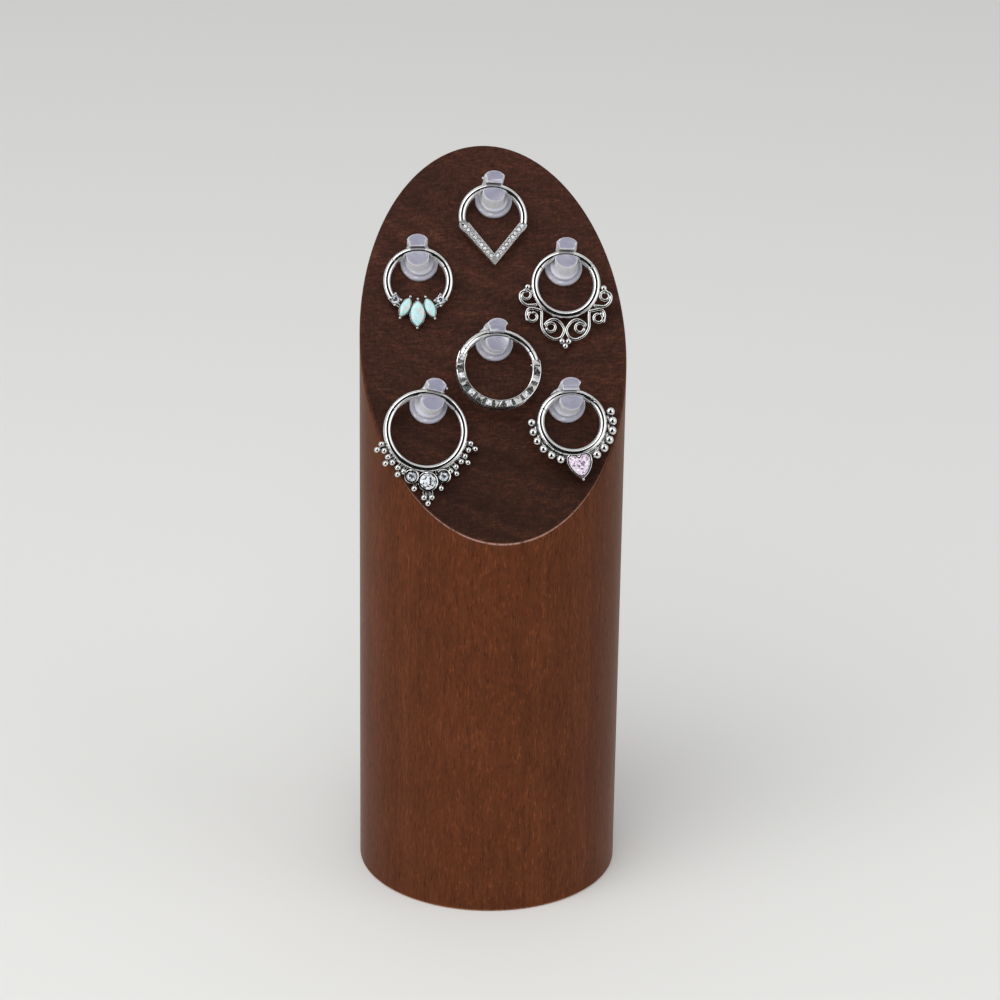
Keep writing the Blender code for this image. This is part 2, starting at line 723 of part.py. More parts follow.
def teardrop(place, parent):
    """Two arms from the seams to a point, round at the shoulders, each with a row of small round stones."""
    outer = wire_path_radius(place) + WIRE_RADIUS
    inner = place.bore / 2
    start, end = body_start(place)
    shoulder = [point[:2] for point in soldered_at(outer, TEARDROP_SHOULDER)]
    outline = [
        on_ring(start, outer).translation[:2],
        *shoulder,
        (0.0, -TEARDROP_TIP),
        *[(-x, y) for x, y in reversed(shoulder)],
        on_ring(end, outer).translation[:2],
        on_ring(end, inner).translation[:2],
        (0.0, -TEARDROP_INNER_TIP),
        on_ring(start, inner).translation[:2],
    ]
    top = TEARDROP_THICKNESS / 2
    arms = with_joints(extruded(outline, -top, top), place)
    tip = Vector((0.0, -(TEARDROP_TIP + TEARDROP_INNER_TIP) / 2))
    run = (Vector(outline[-1]) - Vector((0.0, -TEARDROP_INNER_TIP))).normalized()
    seats = []
    for side in (1, -1):
        for n in range(PAVE_PER_ARM):
            spot = tip + run * PAVE_PITCH * (n + 1)
            seats.append(Vector((side * spot.x, spot.y, top)))
    cutters = [moved(stone_seat(PAVE_STONE, PAVE_DEPTH, 8), at(*spot)) for spot in seats]
    add_body(cut(arms, *cutters), place, parent)
    for n, spot in enumerate(seats, 1):
        add_stone(brilliant(PAVE_STONE, 6), f"top_pave_stone_{n:02d}", "crystal", parent, place, at(*spot))


def marquise(length, width, steps=6):
    """A pointed oval outline made of two arcs, long along Y."""
    radius = (length**2 + width**2) / (4 * width)
    spread = math.asin(length / 2 / radius)
    points = []
    for side in (1, -1):
        for n in range(steps):
            angle = spread * (1 - 2 * n / steps)
            out = radius * math.cos(angle) - radius + width / 2
            points.append((side * out, side * radius * math.sin(angle)))
    return points


def opal(length, width):
    """A domed marquise stone with a flat back at height 0."""
    edge = extruded(marquise(length, width), 0.0, OPAL_HEIGHT)
    bm = bmesh.new()
    bm.from_mesh(edge.data)
    bpy.data.objects.remove(edge)
    top = [face for face in bm.faces if face.calc_center_median().z > 0.99 * OPAL_HEIGHT]
    for inward, rise in OPAL_STEPS:
        bmesh.ops.inset_region(
            bm, faces=top, thickness=inward * width, depth=rise * OPAL_HEIGHT, use_even_offset=True
        )
    return object_of("opal", bm)


def opal_ring(place, parent):
    """A fan of three marquise opals between two round stones in square settings."""
    radius = wire_path_radius(place)
    start, end = body_start(place)
    first = CLAW_ANGLE - BRIDGE_LAP
    bridge = swept_arc(round_profile(BRIDGE_WIRE, THIN_WIRE_SIDES), radius, first, 360 - first)
    body = fused(
        swept_arc(round_profile(WIRE_DIAMETER), radius, start, CLAW_ANGLE),
        moved(bridge, at(z=BRIDGE_DROP)),
        swept_arc(round_profile(WIRE_DIAMETER), radius, 360 - CLAW_ANGLE, end),
    )
    body = with_joints(body, place)
    adders, cutters, stones = [], [], []
    for n, angle in enumerate((CLAW_ANGLE, 360 - CLAW_ANGLE), 1):
        spot = on_ring(angle, CLAW_REACH)
        girdle = spot @ at(z=ROUND_GIRDLE)
        adders.append(moved(box(CLAW_BOX, CLAW_BOX, 2 * ROUND_GIRDLE), spot))
        for x in (-CLAW_SPREAD, CLAW_SPREAD):
            for y in (-CLAW_SPREAD, CLAW_SPREAD):
                adders.append(moved(ball(CLAW_BEAD, 6, 4), girdle @ at(x * CLAW_BOX, y * CLAW_BOX)))
        cutters.append(moved(stone_seat(ROUND_STONE, ROUND_SEAT), girdle))
        stones.append((brilliant(ROUND_STONE), f"upper_left_round_stone_{n}", "crystal", girdle))
    fan = (
        (180 - FAN_ANGLE, OPAL_SIDE_REACH, OPAL_SIDE_LENGTH, OPAL_SIDE_WIDTH),
        (180, OPAL_CENTRE_REACH, OPAL_CENTRE_LENGTH, OPAL_CENTRE_WIDTH),
        (180 + FAN_ANGLE, OPAL_SIDE_REACH, OPAL_SIDE_LENGTH, OPAL_SIDE_WIDTH),
    )
    for n, (angle, reach, length, width) in enumerate(fan, 1):
        spot = on_ring(angle, reach)
        claw_reach = (length + OPAL_CLAW) / 2 + STONE_GAP
        outline = marquise(2 * claw_reach - OPAL_CLAW / 2, width * OPAL_PLATE_SHARE)
        plate = extruded(outline, OPAL_PLATE_BACK, OPAL_PLATE_TOP)
        claws = []
        for y in (-claw_reach, claw_reach):
            claws.append(moved(cylinder(OPAL_CLAW, OPAL_PLATE_BACK / 2, OPAL_CLAW_TOP, 8), at(y=y)))
        adders.append(moved(fused(plate, *claws), spot))
        seat = spot @ at(z=OPAL_PLATE_TOP + STONE_GAP)
        stones.append((opal(length, width), f"upper_left_opal_{n}", "opal", seat))
    add_body(decorated(body, adders, cutters), place, parent)
    for stone, name, kind, matrix in stones:
        add_stone(stone, name, kind, parent, place, matrix)


def mirrored(points):
    return [(-x, y, z) for x, y, z in points]


def spiral(centre, start, sweep, steps=9):
    """Nearly one turn of wire about a point, drawing in a little from start degrees on."""
    points = []
    for n in range(steps + 1):
        share = n / steps
        angle = math.radians(start + sweep * share)
        reach = SCROLL_RING * (1 - SCROLL_DRAW * share)
        points.append((centre[0] + reach * math.cos(angle), centre[1] + reach * math.sin(angle), 0.0))
    return points


def filigree_ring(place, parent):
    """Scrolls of thin wire and small beads, alike on both sides, soldered under the ring."""
    radius = wire_path_radius(place)
    outer = radius + WIRE_RADIUS
    start, end = body_start(place)
    body = with_joints(swept_arc(round_profile(WIRE_DIAMETER), radius, start, end), place)
    strokes = (UPPER_STROKE, LOWER_STROKE, HEART_STROKE)
    paths = [smooth_path(soldered_at(outer, points), 2) for points in strokes]
    for centre, first, sweep in CURLS:
        paths.append(spiral(soldered_at(outer, [centre])[0], first, sweep))
    adders = [moved(ball(FILIGREE_BEAD), on_ring(180, outer + FILIGREE_TIP))]
    for path in paths:
        adders += [tube(path, SCROLL_WIRE), tube(mirrored(path), SCROLL_WIRE)]
    for angle, reach in FILIGREE_BEADS:
        for turn in (angle, 360 - angle):
            adders.append(moved(ball(FILIGREE_BEAD), on_ring(turn, outer + reach * MM)))
    add_body(decorated(body, adders), place, parent)


def pyramid(base, top_share, height):
    """A square pyramid with a flat top, standing about height 0."""
    bm = bmesh.new()
    corner = base / math.sqrt(2)
    bmesh.ops.create_cone(
        bm, cap_ends=True, segments=4, radius1=corner, radius2=corner * top_share, depth=height
    )
    return moved(object_of("pyramid", bm), turned_by(45))


def studded_band(place, parent):
    """A flat band under plain ends, with pyramid studs and square stones by turns."""
    radius = wire_path_radius(place)
    start, end = body_start(place)
    band_end = 360 - place.seam_left - BAND_STOP
    body = fused(
        swept_arc(box_profile(BAND_WIDTH, BAND_THICKNESS), radius, BAND_START, band_end, BAND_STEP),
        swept_arc(round_profile(WIRE_DIAMETER), radius, start, BAND_START + BAND_LAP),
        swept_arc(round_profile(WIRE_DIAMETER), radius, band_end - BAND_LAP, end),
    )
    body = with_joints(body, place)
    face = BAND_THICKNESS / 2
    studs = [(FIRST_STUD, FIRST_STUD_SHARE)] + [(STUD_START + BAND_PITCH * n, 1.0) for n in range(STUDS)]
    stones = [STUD_START + BAND_PITCH * (n + 0.5) for n in range(STUDS)]
    adders = []
    for angle, share in studs:
        stud = pyramid(STUD_BASE, STUD_TOP_SHARE, STUD_HEIGHT)
        stud = moved(stud, Matrix.Diagonal((share, 1.0, 1.0, 1.0)))
        adders.append(moved(stud, on_ring(angle, radius, face + STUD_HEIGHT / 2 - STUD_SINK)))
    pocket = SQUARE_STONE + 2 * STONE_GAP
    cutters = [
        moved(box(pocket, pocket, 2 * SQUARE_DEPTH), on_ring(angle, radius, face)) for angle in stones
    ]
    add_body(cut(fused(body, *adders), *cutters), place, parent)
    depth = SQUARE_DEPTH - 2 * STONE_GAP
    for n, angle in enumerate(stones, 1):
        stone = pyramid(SQUARE_STONE, SQUARE_TABLE_SHARE, depth)
        spot = on_ring(angle, radius, face - depth / 2 + STONE_GAP)
        add_stone(stone, f"centre_square_stone_{n}", "crystal", parent, place, spot)


def neck(angle, low, high):
    """A short bar of solder behind a bead, along the radial line at an angle."""
    bar = box(NECK_WIDTH, high - low, NECK_HEIGHT)
    return moved(bar, on_ring(angle, (low + high) / 2, NECK_MIDDLE))


def bezel_ring(place, parent):
    """Three bezels and clusters of small beads along the ring's lower half."""
    radius = wire_path_radius(place)
    outer = radius + WIRE_RADIUS
    start, end = body_start(place)
    body = with_joints(swept_arc(round_profile(WIRE_DIAMETER), radius, start, end), place)
    adders = []
    for angle, reach in (*BEZEL_BEADS, *BEZEL_DROPS):
        for turn in (angle, 360 - angle):
            spot = outer + reach * MM
            adders.append(moved(ball(SMALL_BEAD, 8, 4), on_ring(turn, spot)))
            adders.append(neck(turn, radius, spot))
    adders.append(moved(ball(SMALL_BEAD, 8, 4), on_ring(180, outer + BEZEL_TIP)))
    adders.append(neck(180, radius, outer + BEZEL_TIP))
    cutters, stones = [], []
    for n, (angle, reach, diameter) in enumerate(BEZELS, 1):
        spot = on_ring(angle, outer + reach * MM)
        adders.append(moved(cylinder(diameter, -BEZEL_BACK, BEZEL_RIM), spot))
        stone = diameter - 2 * BEZEL_WALL - 2 * STONE_GAP
        point = POINT_DROP * stone / 2
        girdle = spot @ at(z=BEZEL_SEAT + point)
        cutters.append(moved(stone_seat(stone, point + STONE_GAP), girdle))
        stones.append((brilliant(stone, 12), f"lower_left_round_stone_{n}", girdle))
    add_body(decorated(body, adders, cutters), place, parent)
    for stone, name, matrix in stones:
        add_stone(stone, name, "crystal", parent, place, matrix)


def heart():
    """The heart's outline, anticlockwise from its tip."""
    steps = 3
    half = smooth_path([(x * MM, y * MM, 0.0) for x, y in HEART_HALF], steps)
    right = [Vector(point[:2]) for point in half]
    left = [Vector((-point.x, point.y)) for point in reversed(right[1:])]
    return [*right, Vector(HEART_NOTCH) * MM, *left]


def inset(outline, distance):
    """A closed anticlockwise outline with each of its sides moved inwards."""
    points = []
    for before, here, after in zip(outline[-1:] + outline[:-1], outline, outline[1:] + outline[:1]):
        first, second = (here - before).normalized(), (after - here).normalized()
        inwards = Vector((-first.y, first.x))
        bisector = (inwards + Vector((-second.y, second.x))).normalized()
        points.append(here + bisector * distance / bisector.dot(inwards))
    return points


def heart_ring(place, parent):
    """A heart stone in a thin bezel between two rows of beads."""
    radius = wire_path_radius(place)
    start, end = body_start(place)
    body = with_joints(swept_arc(round_profile(WIRE_DIAMETER), radius, start, end), place)
    outer = radius + WIRE_RADIUS
    solder = swept_arc(
        round_profile(SOLDER_WIRE, THIN_WIRE_SIDES),
        outer + SOLDER_REACH,
        LARGE_BEAD_FIRST,
        360 - LARGE_BEAD_FIRST,
    )
    adders = [moved(solder, at(z=SOLDER_DROP))]
    for n in range(LARGE_BEADS_A_SIDE):
        angle = LARGE_BEAD_FIRST + LARGE_BEAD_PITCH * n
        for turn in (angle, 360 - angle):
            adders.append(moved(ball(LARGE_BEAD), on_ring(turn, outer + LARGE_BEAD_REACH)))
    outline = heart()
    adders.append(extruded(outline, HEART_BACK, HEART_RIM))
    tip = outline[0].y
    foot = (0.0, tip + HEART_PRONG_FOOT, HEART_SEAT)
    adders.append(tube([foot, (0.0, tip - HEART_PRONG_LEAN, HEART_STONE_TOP)], HEART_PRONG))
    pocket = extruded(inset(outline, HEART_WALL), HEART_SEAT, 2 * WIRE_DIAMETER)
    add_body(decorated(body, adders, [pocket]), place, parent)
    stone = extruded(inset(outline, HEART_WALL + STONE_GAP), HEART_SEAT + STONE_GAP, HEART_STONE_TOP)
    bm = bmesh.new()
    bm.from_mesh(stone.data)
    bpy.data.objects.remove(stone)
    front = rim_edges(bm, HEART_STONE_TOP)
    bmesh.ops.bevel(bm, geom=front, offset=HEART_FACET, offset_type="OFFSET", segments=1, affect="EDGES")
    stone = object_of("heart", bm)
    add_stone(stone, "lower_right_heart_stone", "pink_crystal", parent, place, Matrix.Identity(4))


RING_BODIES = {
    "top": teardrop,
    "upper_left": opal_ring,
    "upper_right": filigree_ring,
    "centre": studded_band,
    "lower_left": bezel_ring,
    "lower_right": heart_ring,
}


def ring(place):
    """A ring in its holder: the segment swings about the slot, and the body opens about the hinge pin."""
    swing = empty(f"{place.name}_swing", holder_frame(place) @ stem_frame(place) @ grip_frame(place))
    segment(place, swing)
    pivot = ring_in_grip(place) @ at(*on_ring(hinge_angle(place), wire_path_radius(place)).translation)
    hinge = empty(f"{place.name}_hinge", pivot, swing)
    hinge_pin(place, hinge)
    RING_BODIES[place.name](place, hinge)


def main():
    wood_block()
    for place in PLACES.values():
        holder(place)
        ring(place)
    bpy.context.view_layer.update()


main()
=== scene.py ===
"""Looks of the body jewelry display stand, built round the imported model.

The shapes are made in millimetres, in the frames and mostly in the sizes of the CAD source, and scaled last.
"""

import math
from collections import namedtuple

import bmesh
import bpy
from mathutils import Matrix, Vector


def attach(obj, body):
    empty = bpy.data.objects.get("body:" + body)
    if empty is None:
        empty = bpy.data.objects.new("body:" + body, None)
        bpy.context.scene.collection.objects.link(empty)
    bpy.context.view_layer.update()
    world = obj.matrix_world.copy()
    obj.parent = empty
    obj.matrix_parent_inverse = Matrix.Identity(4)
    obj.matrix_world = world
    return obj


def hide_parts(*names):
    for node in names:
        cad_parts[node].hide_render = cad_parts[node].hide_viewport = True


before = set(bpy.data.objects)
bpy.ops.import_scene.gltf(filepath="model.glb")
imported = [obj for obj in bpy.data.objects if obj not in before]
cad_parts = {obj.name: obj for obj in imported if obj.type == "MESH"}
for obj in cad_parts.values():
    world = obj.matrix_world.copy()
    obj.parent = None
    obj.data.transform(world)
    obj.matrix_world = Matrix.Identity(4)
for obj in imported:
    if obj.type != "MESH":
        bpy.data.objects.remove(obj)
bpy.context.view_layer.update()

METRES_PER_MM = 0.001
WELD_DISTANCE = 1e-5
FLATNESS = 1e-3
UP = Vector((0, 0, 1))
CORNERS = ((-1, -1), (1, -1), (1, 1), (-1, 1))
IN_PLACE = Matrix.Identity(4)
NEARLY_UPRIGHT = 0.9
CREVICE_SAMPLES = 8
NORMAL_WEIGHT = 100

# Angles in degrees over which the edges of a cylinder are bevelled, faces stay apart and edges show as sharp
RIM_ANGLE = 60
MERGE_ANGLE = 1
BLOCK_SHARP = 42
WIRE_SHARP = 35
BODY_SHARP = 32
OPAL_SHARP = 40
FACET_SHARP = 4

# Segments and rings of the smaller balls
CLAW_BALL = (20, 14)
SNAP_BALL = (16, 12)
GATE_BALL = (12, 8)
PAVE_BALL = (10, 8)

# Wood block
BLOCK_RADIUS = 20.0
FRONT_HEIGHT = 61.4
CUT_ANGLE = math.radians(50.8)
RIM_CHAMFER = 0.40
RIM_PROFILE = 0.36
FOOT_CHAMFER = 0.4
CHAMFER_STEPS = 4
# The block's many flat sides stay just inside the CAD model's box
SIDE_ALLOWANCE = 0.003
BLOCK_SIDES = 360
HOLE_SIDES = 48

# Silicone holder: heights along its own axis are measured from the wood
FLANGE_THICKNESS = 0.7
BOSS_TOP = 1.3
# Radii and heights of the boss, the flange and the plug
BASE_PROFILE = (
    (0.0, BOSS_TOP), (2.0, BOSS_TOP), (2.15, 1.15), (2.15, 0.82), (2.27, FLANGE_THICKNESS),
    (2.52, FLANGE_THICKNESS), (2.72, 0.61), (2.8, 0.42), (2.8, 0.03), (1.7, 0.03), (1.7, -3.75), (1.45, -4.0),
    (0.0, -4.0),
)
BASE_SIDES = 72
STEM_WIDTH = 3.4
STEM_STEPS = 20
HEAD_RISE = 1.4
WAIST_WIDTH = 2.3
WAIST_RADIUS = 0.8
WAIST_RISE = -0.15
LOWER_JAW_TOP = 3.8
HEAD_TOP = 4.4
JAW_ROUNDING = 0.25
LIP_WIDTH = 2.4
# The lip's section: how far each corner is above the slot's roof, and its height
LIP_SECTION = ((0.1, 2.4), (-0.6, HEAD_TOP - 0.05), (0.8, HEAD_TOP), (0.8, 2.4))
SLOT_RISE = 1.2
SLOT_DEPTH_CENTRE = 2.5
SLOT_CLEARANCE = 0.05
SLOT_FLOOR_CLEARANCE = 0.1
SLOT_REACH = 0.75
SLOT_STEPS = 24
HOLE_DIAMETER = 3.6
HOLE_DEPTH = 4.3
GATE_NUB = 0.36
GATE_RISE = 0.4
GATE_DROP = 0.9
REMESH_SIZE = 0.055
SOFTEN_FACTOR = 0.5
SOFTEN_ROUNDS = 3
FACES_KEPT = 0.16

# Ring wire, its hinge and its snap
WIRE_DIAMETER = 1.2
WIRE_ROUNDING = 0.03
THIN_WIRE_SIDES = 20
ARC_STEP = 2.5
KNUCKLE_GAP = 0.06
KNUCKLE_START = 0.02
KNUCKLE_SIDES = 60
FORK_SIDES = 40
FORK_SLOT = 0.5
FINE_ROUNDING = 0.05
HORN_START = 0.45
TONGUE_DIAMETER = 1.0
TONGUE_THICKNESS = 0.4
TONGUE_WEB = 0.8
TONGUE_WEB_INSET = 0.008
TONGUE_ROOT = 0.4
PIN_DIAMETER = 0.4
PIN_LENGTH = 1.04
PIN_SIDES = 24
PIN_CLEARANCE = 0.04
SEAM_GAP = 0.06
NUB_DIAMETER = 0.56
NUB_RISE = 0.14
NUB_CLEARANCE = 0.12
# The rounded ends of a thin wire: shares of its width, and of its radius past its end
WIRE_TIP = ((0.87, 0.5), (0.5, 0.866), (0.0, 1.0))

# Stones and their settings
STONE_GAP = 0.04
SETTING_ROUNDING = 0.07
POINT_DROP = 0.80
# Rows of a round stone: shares of its radius across and up, corners, and the first one's angle
BRILLIANT_ROWS = (
    (0.56, 0.30, 8, 0.0), (0.80, 0.18, 8, 22.5), (1.0, 0.02, 16, 11.25), (1.0, -0.02, 16, 11.25),
    (0.56, -0.40, 8, 0.0), (0.04, -POINT_DROP, 8, 0.0),
)
SEAT_WALL = 0.1
SEAT_TAPER = 0.45
SEAT_SIDES = 32

# Teardrop ring at the top. Spots on a ring are angles from its top and distances outside its wire.
TEARDROP_TIP = -7.5
TEARDROP_INNER_TIP = -5.76
TEARDROP_BLUNT = 0.12
TEARDROP_POINT = 0.03
TEARDROP_SHOULDER = ((107, 0.0), (110.5, -0.03), (114, -0.14), (117.5, -0.26), (121, -0.37))
TEARDROP_THICKNESS = 1.1
PAVE_STONE = 0.62
PAVE_PITCH = 0.74
PAVE_PER_ARM = 9
PAVE_DEPTH = 0.35
PAVE_BEAD = 0.24
PAVE_BEAD_REACH = 0.36
PAVE_TURN = 17

# Opal ring at the upper left
CLAW_ANGLE = 131.0
CLAW_REACH = 4.5
CLAW_BOX = 1.45
CLAW_BOX_ROUNDING = 0.12
CLAW_BEAD = 0.38
CLAW_SPREAD = 0.62
ROUND_STONE = 1.26
ROUND_GIRDLE = 0.6
ROUND_SEAT = 0.52
# Each opal's angle, distance from the ring's centre, length and width
OPAL_FAN = ((155.5, 4.5, 3.1, 1.45), (180.0, 5.02, 3.9, 2.15), (204.5, 4.5, 3.1, 1.45))
OPAL_HEIGHT = 0.6
OPAL_EDGE_SHARE = 0.22
OPAL_FULLNESS = 0.8
OPAL_ROWS = 9
OPAL_RIM = 0.26
OPAL_PLATE_TOP = 0.2
OPAL_PLATE_BACK = -0.3
OPAL_CLAW = 0.42
OPAL_CLAW_FOOT = -0.15
OPAL_CLAW_TOP = 0.6
OPAL_CLAW_SIDES = 24
MARQUISE_STEPS = 20
BRIDGE_WIRE = 0.7
BRIDGE_DROP = -0.2
BRIDGE_LAP = 4.0

# Filigree ring at the upper right
SCROLL_WIRE = 0.5
SCROLL_RING = 0.72
SCROLL_DRAW = 0.1
SCROLL_STEPS = 28
STROKE_STEPS = 6
STROKES = (
    ((101, 0.7), (100.5, 1.3), (104, 1.75), (111, 1.85), (119, 1.4), (126, 0.15)),
    ((138, 0.15), (132.5, 0.5), (127, 0.9), (125, 1.5), (128, 2.15), (134, 2.7)),
    (
        (139, 0.15), (145, 0.9), (149, 1.7), (153, 2.35), (160, 3.0), (168.5, 3.3), (175, 2.95), (178.1, 2.1),
        (178, 1.44), (172, 0.6), (165, 0.3), (159, 0.55), (155, 1.1), (154, 1.6),
    ),
)
# Each curl's centre, first angle and sweep
CURLS = (((105.6, 0.85), 70, 320), ((135.7, 1.78), 60, -320), ((161.8, 1.7), 20, 320))
FILIGREE_BEAD = 0.98
FILIGREE_BEADS = ((95.0, 0.45), (176.8, 3.5))
FILIGREE_TIP = 4.2

# Studded band ring at the centre
BAND_WIDTH = 1.28
BAND_THICKNESS = 1.2
BAND_CORNER = 0.12
BAND_SOFTNESS = 0.036
BAND_START = 76.0
BAND_STOP = 8.0
BAND_LAP = 3.0
BAND_PITCH = 30.0
FIRST_STUD = (79.0, 0.8)
STUD_START = 90.0
STUDS = 7
STUD_BASE = 1.13
STUD_HEIGHT = 0.48
STUD_TOP = 0.1
STUD_SINK = 0.02
SQUARE_STONE = 0.94
SQUARE_DEPTH = 0.4
# Rows of a square stone: the table's round rows, and half the width and height of the square ones
SQUARE_TABLE_ROWS = ((0.24, 0.07, 4, 0.0), (0.41, 0.02, 8, 22.5))
SQUARE_ROWS = ((0.47, -0.06), (0.47, -0.1), (0.28, -0.28))

# Beaded ring with three bezels at the lower left
SMALL_BEAD = 0.88
BEZEL_BEADS = (
    (106.5, 0.6), (110.9, 1.49), (115.4, 0.6), (124.1, 0.6), (128.4, 1.49), (132.7, 0.61), (141.7, 0.66),
    (146.0, 1.52), (150.4, 0.69), (167.0, 2.56), (176.6, 3.69),
)
BEZEL_TIP = 4.56
# Each bezel's angle, distance outside the wire and diameter
BEZELS = ((180.0, 1.39, 3.0), (160.9, 0.97, 2.1), (199.1, 0.97, 2.1))
BEZEL_WALL = 0.25
BEZEL_BACK = -0.5
BEZEL_RIM = 0.6
BEZEL_ROUNDING = 0.09
BEZEL_SIDES = 64
BEZEL_SEAT = -0.4
NECK_WIDTH = 0.42
NECK_HEIGHT = 0.44
NECK_ROUNDING = 0.06
NECK_MIDDLE = -0.1

# Beaded ring with a heart at the lower right
LARGE_BEAD = 1.3
LARGE_BEAD_REACH = 0.78
LARGE_BEAD_PITCH = 14.3
LARGE_BEAD_FIRST = 81.7
LARGE_BEADS_A_SIDE = 6
SOLDER_WIRE = 0.56
SOLDER_SIDES = 16
SOLDER_REACH = 0.12
SOLDER_DROP = -0.28
# Right half of the heart's outline, from the tip up
HEART_HALF = ((0, -8.95), (0.95, -8.12), (1.6, -7.1), (1.88, -6.05), (1.68, -5.2), (1, -4.84), (0.32, -5.06))
HEART_NOTCH = (0.0, -5.35)
HEART_MIDDLE = (0.0, -6.6)
HEART_STEPS = 6
HEART_STONE_STEPS = 2
HEART_WALL = 0.2
HEART_BACK = -0.5
HEART_SEAT = -0.25
HEART_RIM = 0.35
HEART_PRONG = 0.4
HEART_PRONG_PATH = ((0.0, -8.7, -0.25), (0.0, -9.0, 0.3))
# Rows of the heart stone: the share of its outline, and the height
HEART_STONE_ROWS = ((0.55, 0.5), (0.80, 0.42), (1.0, 0.18), (1.0, 0.08), (0.5, -0.21))

# Where each holder stands on the slanted face, how it leans, and the ring that it grips. across and upslope
# are shares of the face's half width and half length, and shift is how far the stem stands to the right of
# its flange's centre. twist and turn are clockwise from upslope, lift raises the ring's lower end, hinge and
# snap are the seams' angles from the ring's top, and nub is the side with a moulding mark, or 0 for none.
Place = namedtuple("Place", "name across upslope shift twist lean_side lean_up bore lift turn hinge snap nub")
SMALL_BORE = 8.15
LARGE_BORE = 10.25
PLACES = (
    Place("top", 0.065, 0.7047, -0.25, 4, 1, 3.5, SMALL_BORE, -6, 0.6, -104, 104, -1),
    Place("upper_left", -0.525, 0.3944, -0.25, 2, -4, 2, SMALL_BORE, -7.5, 4.1, -52, 62, 0),
    Place("upper_right", 0.5625, 0.3539, 0.25, 5, -2.5, 8, SMALL_BORE, -5.5, 4.1, 57, -57, 0),
    Place("centre", 0.004, -0.0133, 0.0, 1, 3, -12, LARGE_BORE, 1.5, 4, -60, 60, 0),
    Place("lower_left", -0.5155, -0.3144, 0.25, 14, 3.5, -3, LARGE_BORE, -6, 0.5, -56, 56, 1),
    Place("lower_right", 0.517, -0.3271, 0.3, 0, 0, -4.5, SMALL_BORE, 1, -6.9, 57, -57, 0),
)

# Values that follow from the sizes above
FACE_HALF_LENGTH = BLOCK_RADIUS / math.cos(CUT_ANGLE)
FACE_CENTRE_HEIGHT = FRONT_HEIGHT + BLOCK_RADIUS * math.tan(CUT_ANGLE)
BLOCK_TOP = FRONT_HEIGHT + 2 * BLOCK_RADIUS * math.tan(CUT_ANGLE)
TURNED_RADIUS = BLOCK_RADIUS - SIDE_ALLOWANCE
WIRE_RADIUS = WIRE_DIAMETER / 2
SLOT_ROOF = SLOT_RISE + WIRE_RADIUS
KNUCKLE_REACH = WIRE_RADIUS + KNUCKLE_GAP


def new_object(name, data):
    obj = bpy.data.objects.new(name, data)
    bpy.context.scene.collection.objects.link(obj)
    return obj


def object_of(name, bm, weld=None):
    """An object holding a bmesh, which is freed."""
    if weld:
        bmesh.ops.remove_doubles(bm, verts=bm.verts, dist=weld)
    bmesh.ops.recalc_face_normals(bm, faces=bm.faces)
    if bm.calc_volume(signed=True) < 0:
        bmesh.ops.reverse_faces(bm, faces=bm.faces)
    mesh = bpy.data.meshes.new(name)
    bm.to_mesh(mesh)
    bm.free()
    return new_object(name, mesh)


def baked(obj):
    """Puts the mesh that an object's modifiers make in a new plain object, and removes the old one."""
    bpy.context.view_layer.update()
    evaluated = obj.evaluated_get(bpy.context.evaluated_depsgraph_get())
    mesh = bpy.data.meshes.new_from_object(evaluated)
    name = obj.name
    bpy.data.objects.remove(obj)
    bm = bmesh.new()
    bm.from_mesh(mesh)
    bpy.data.meshes.remove(mesh)
    return object_of(name, bm)


def combine(base, others, operation):
    for other in others:
        modifier = base.modifiers.new(operation, "BOOLEAN")
        modifier.operation = operation
        modifier.solver = "MANIFOLD"
        modifier.object = other
        base = baked(base)
        bpy.data.objects.remove(other)
    return base


def fused(base, *others):
    return combine(base, others, "UNION")


def cut(base, *others):
    return combine(base, others, "DIFFERENCE")


def moved(obj, matrix):
    obj.data.transform(matrix)
    return obj


def at(x=0.0, y=0.0, z=0.0):
    return Matrix.Translation((x, y, z))


def turned_by(degrees, axis="Z"):
    return Matrix.Rotation(math.radians(degrees), 4, axis)


def on_ring(angle, radius, z=0.0):
    """A spot at an angle, clockwise from the ring's top. Its Y axis points away from the ring's centre."""
    return turned_by(-angle) @ at(0.0, radius, z)


def piece(obj, name, body, material, nodes, matrix, sharp=WIRE_SHARP):
    """Places a finished shape, in metres, as a piece that rides on its body and stands for its nodes."""
    moved(obj, Matrix.Scale(METRES_PER_MM, 4) @ matrix)
    obj.name = name
    obj.data.name = name
    obj.data.materials.clear()
    obj.data.materials.append(material)
    obj.data.shade_smooth()
    if sharp:
        obj.data.set_sharp_from_angle(angle=math.radians(sharp))
    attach(obj, body)
    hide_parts(*nodes)


def bevelled(bm, rims, size, steps=2, profile=0.5, clamp=False):
    if size:
        shape = {"offset_type": "OFFSET", "segments": steps, "profile": profile, "clamp_overlap": clamp}
        bmesh.ops.bevel(bm, geom=rims, offset=size, affect="EDGES", **shape)


def skinned(bm, rows):
    """Joins rows of vertices by faces. A row is a closed loop, or one point where the skin comes together."""
    for first, second in zip(rows, rows[1:]):
        for n in range(max(len(first), len(second))):
            steps = ((first, n), (second, n), (second, n + 1), (first, n + 1))
            bm.faces.new(list(dict.fromkeys(row[step % len(row)] for row, step in steps)))


def cylinder(diameter, low, high, sides=32, bevel=0.0):
    bm = bmesh.new()
    bmesh.ops.create_cone(
        bm, cap_ends=True, segments=sides, radius1=diameter / 2, radius2=diameter / 2, depth=high - low
    )
    bevelled(bm, [edge for edge in bm.edges if edge.calc_face_angle() > math.radians(RIM_ANGLE)], bevel)
    return moved(object_of("cylinder", bm), at(z=(low + high) / 2))


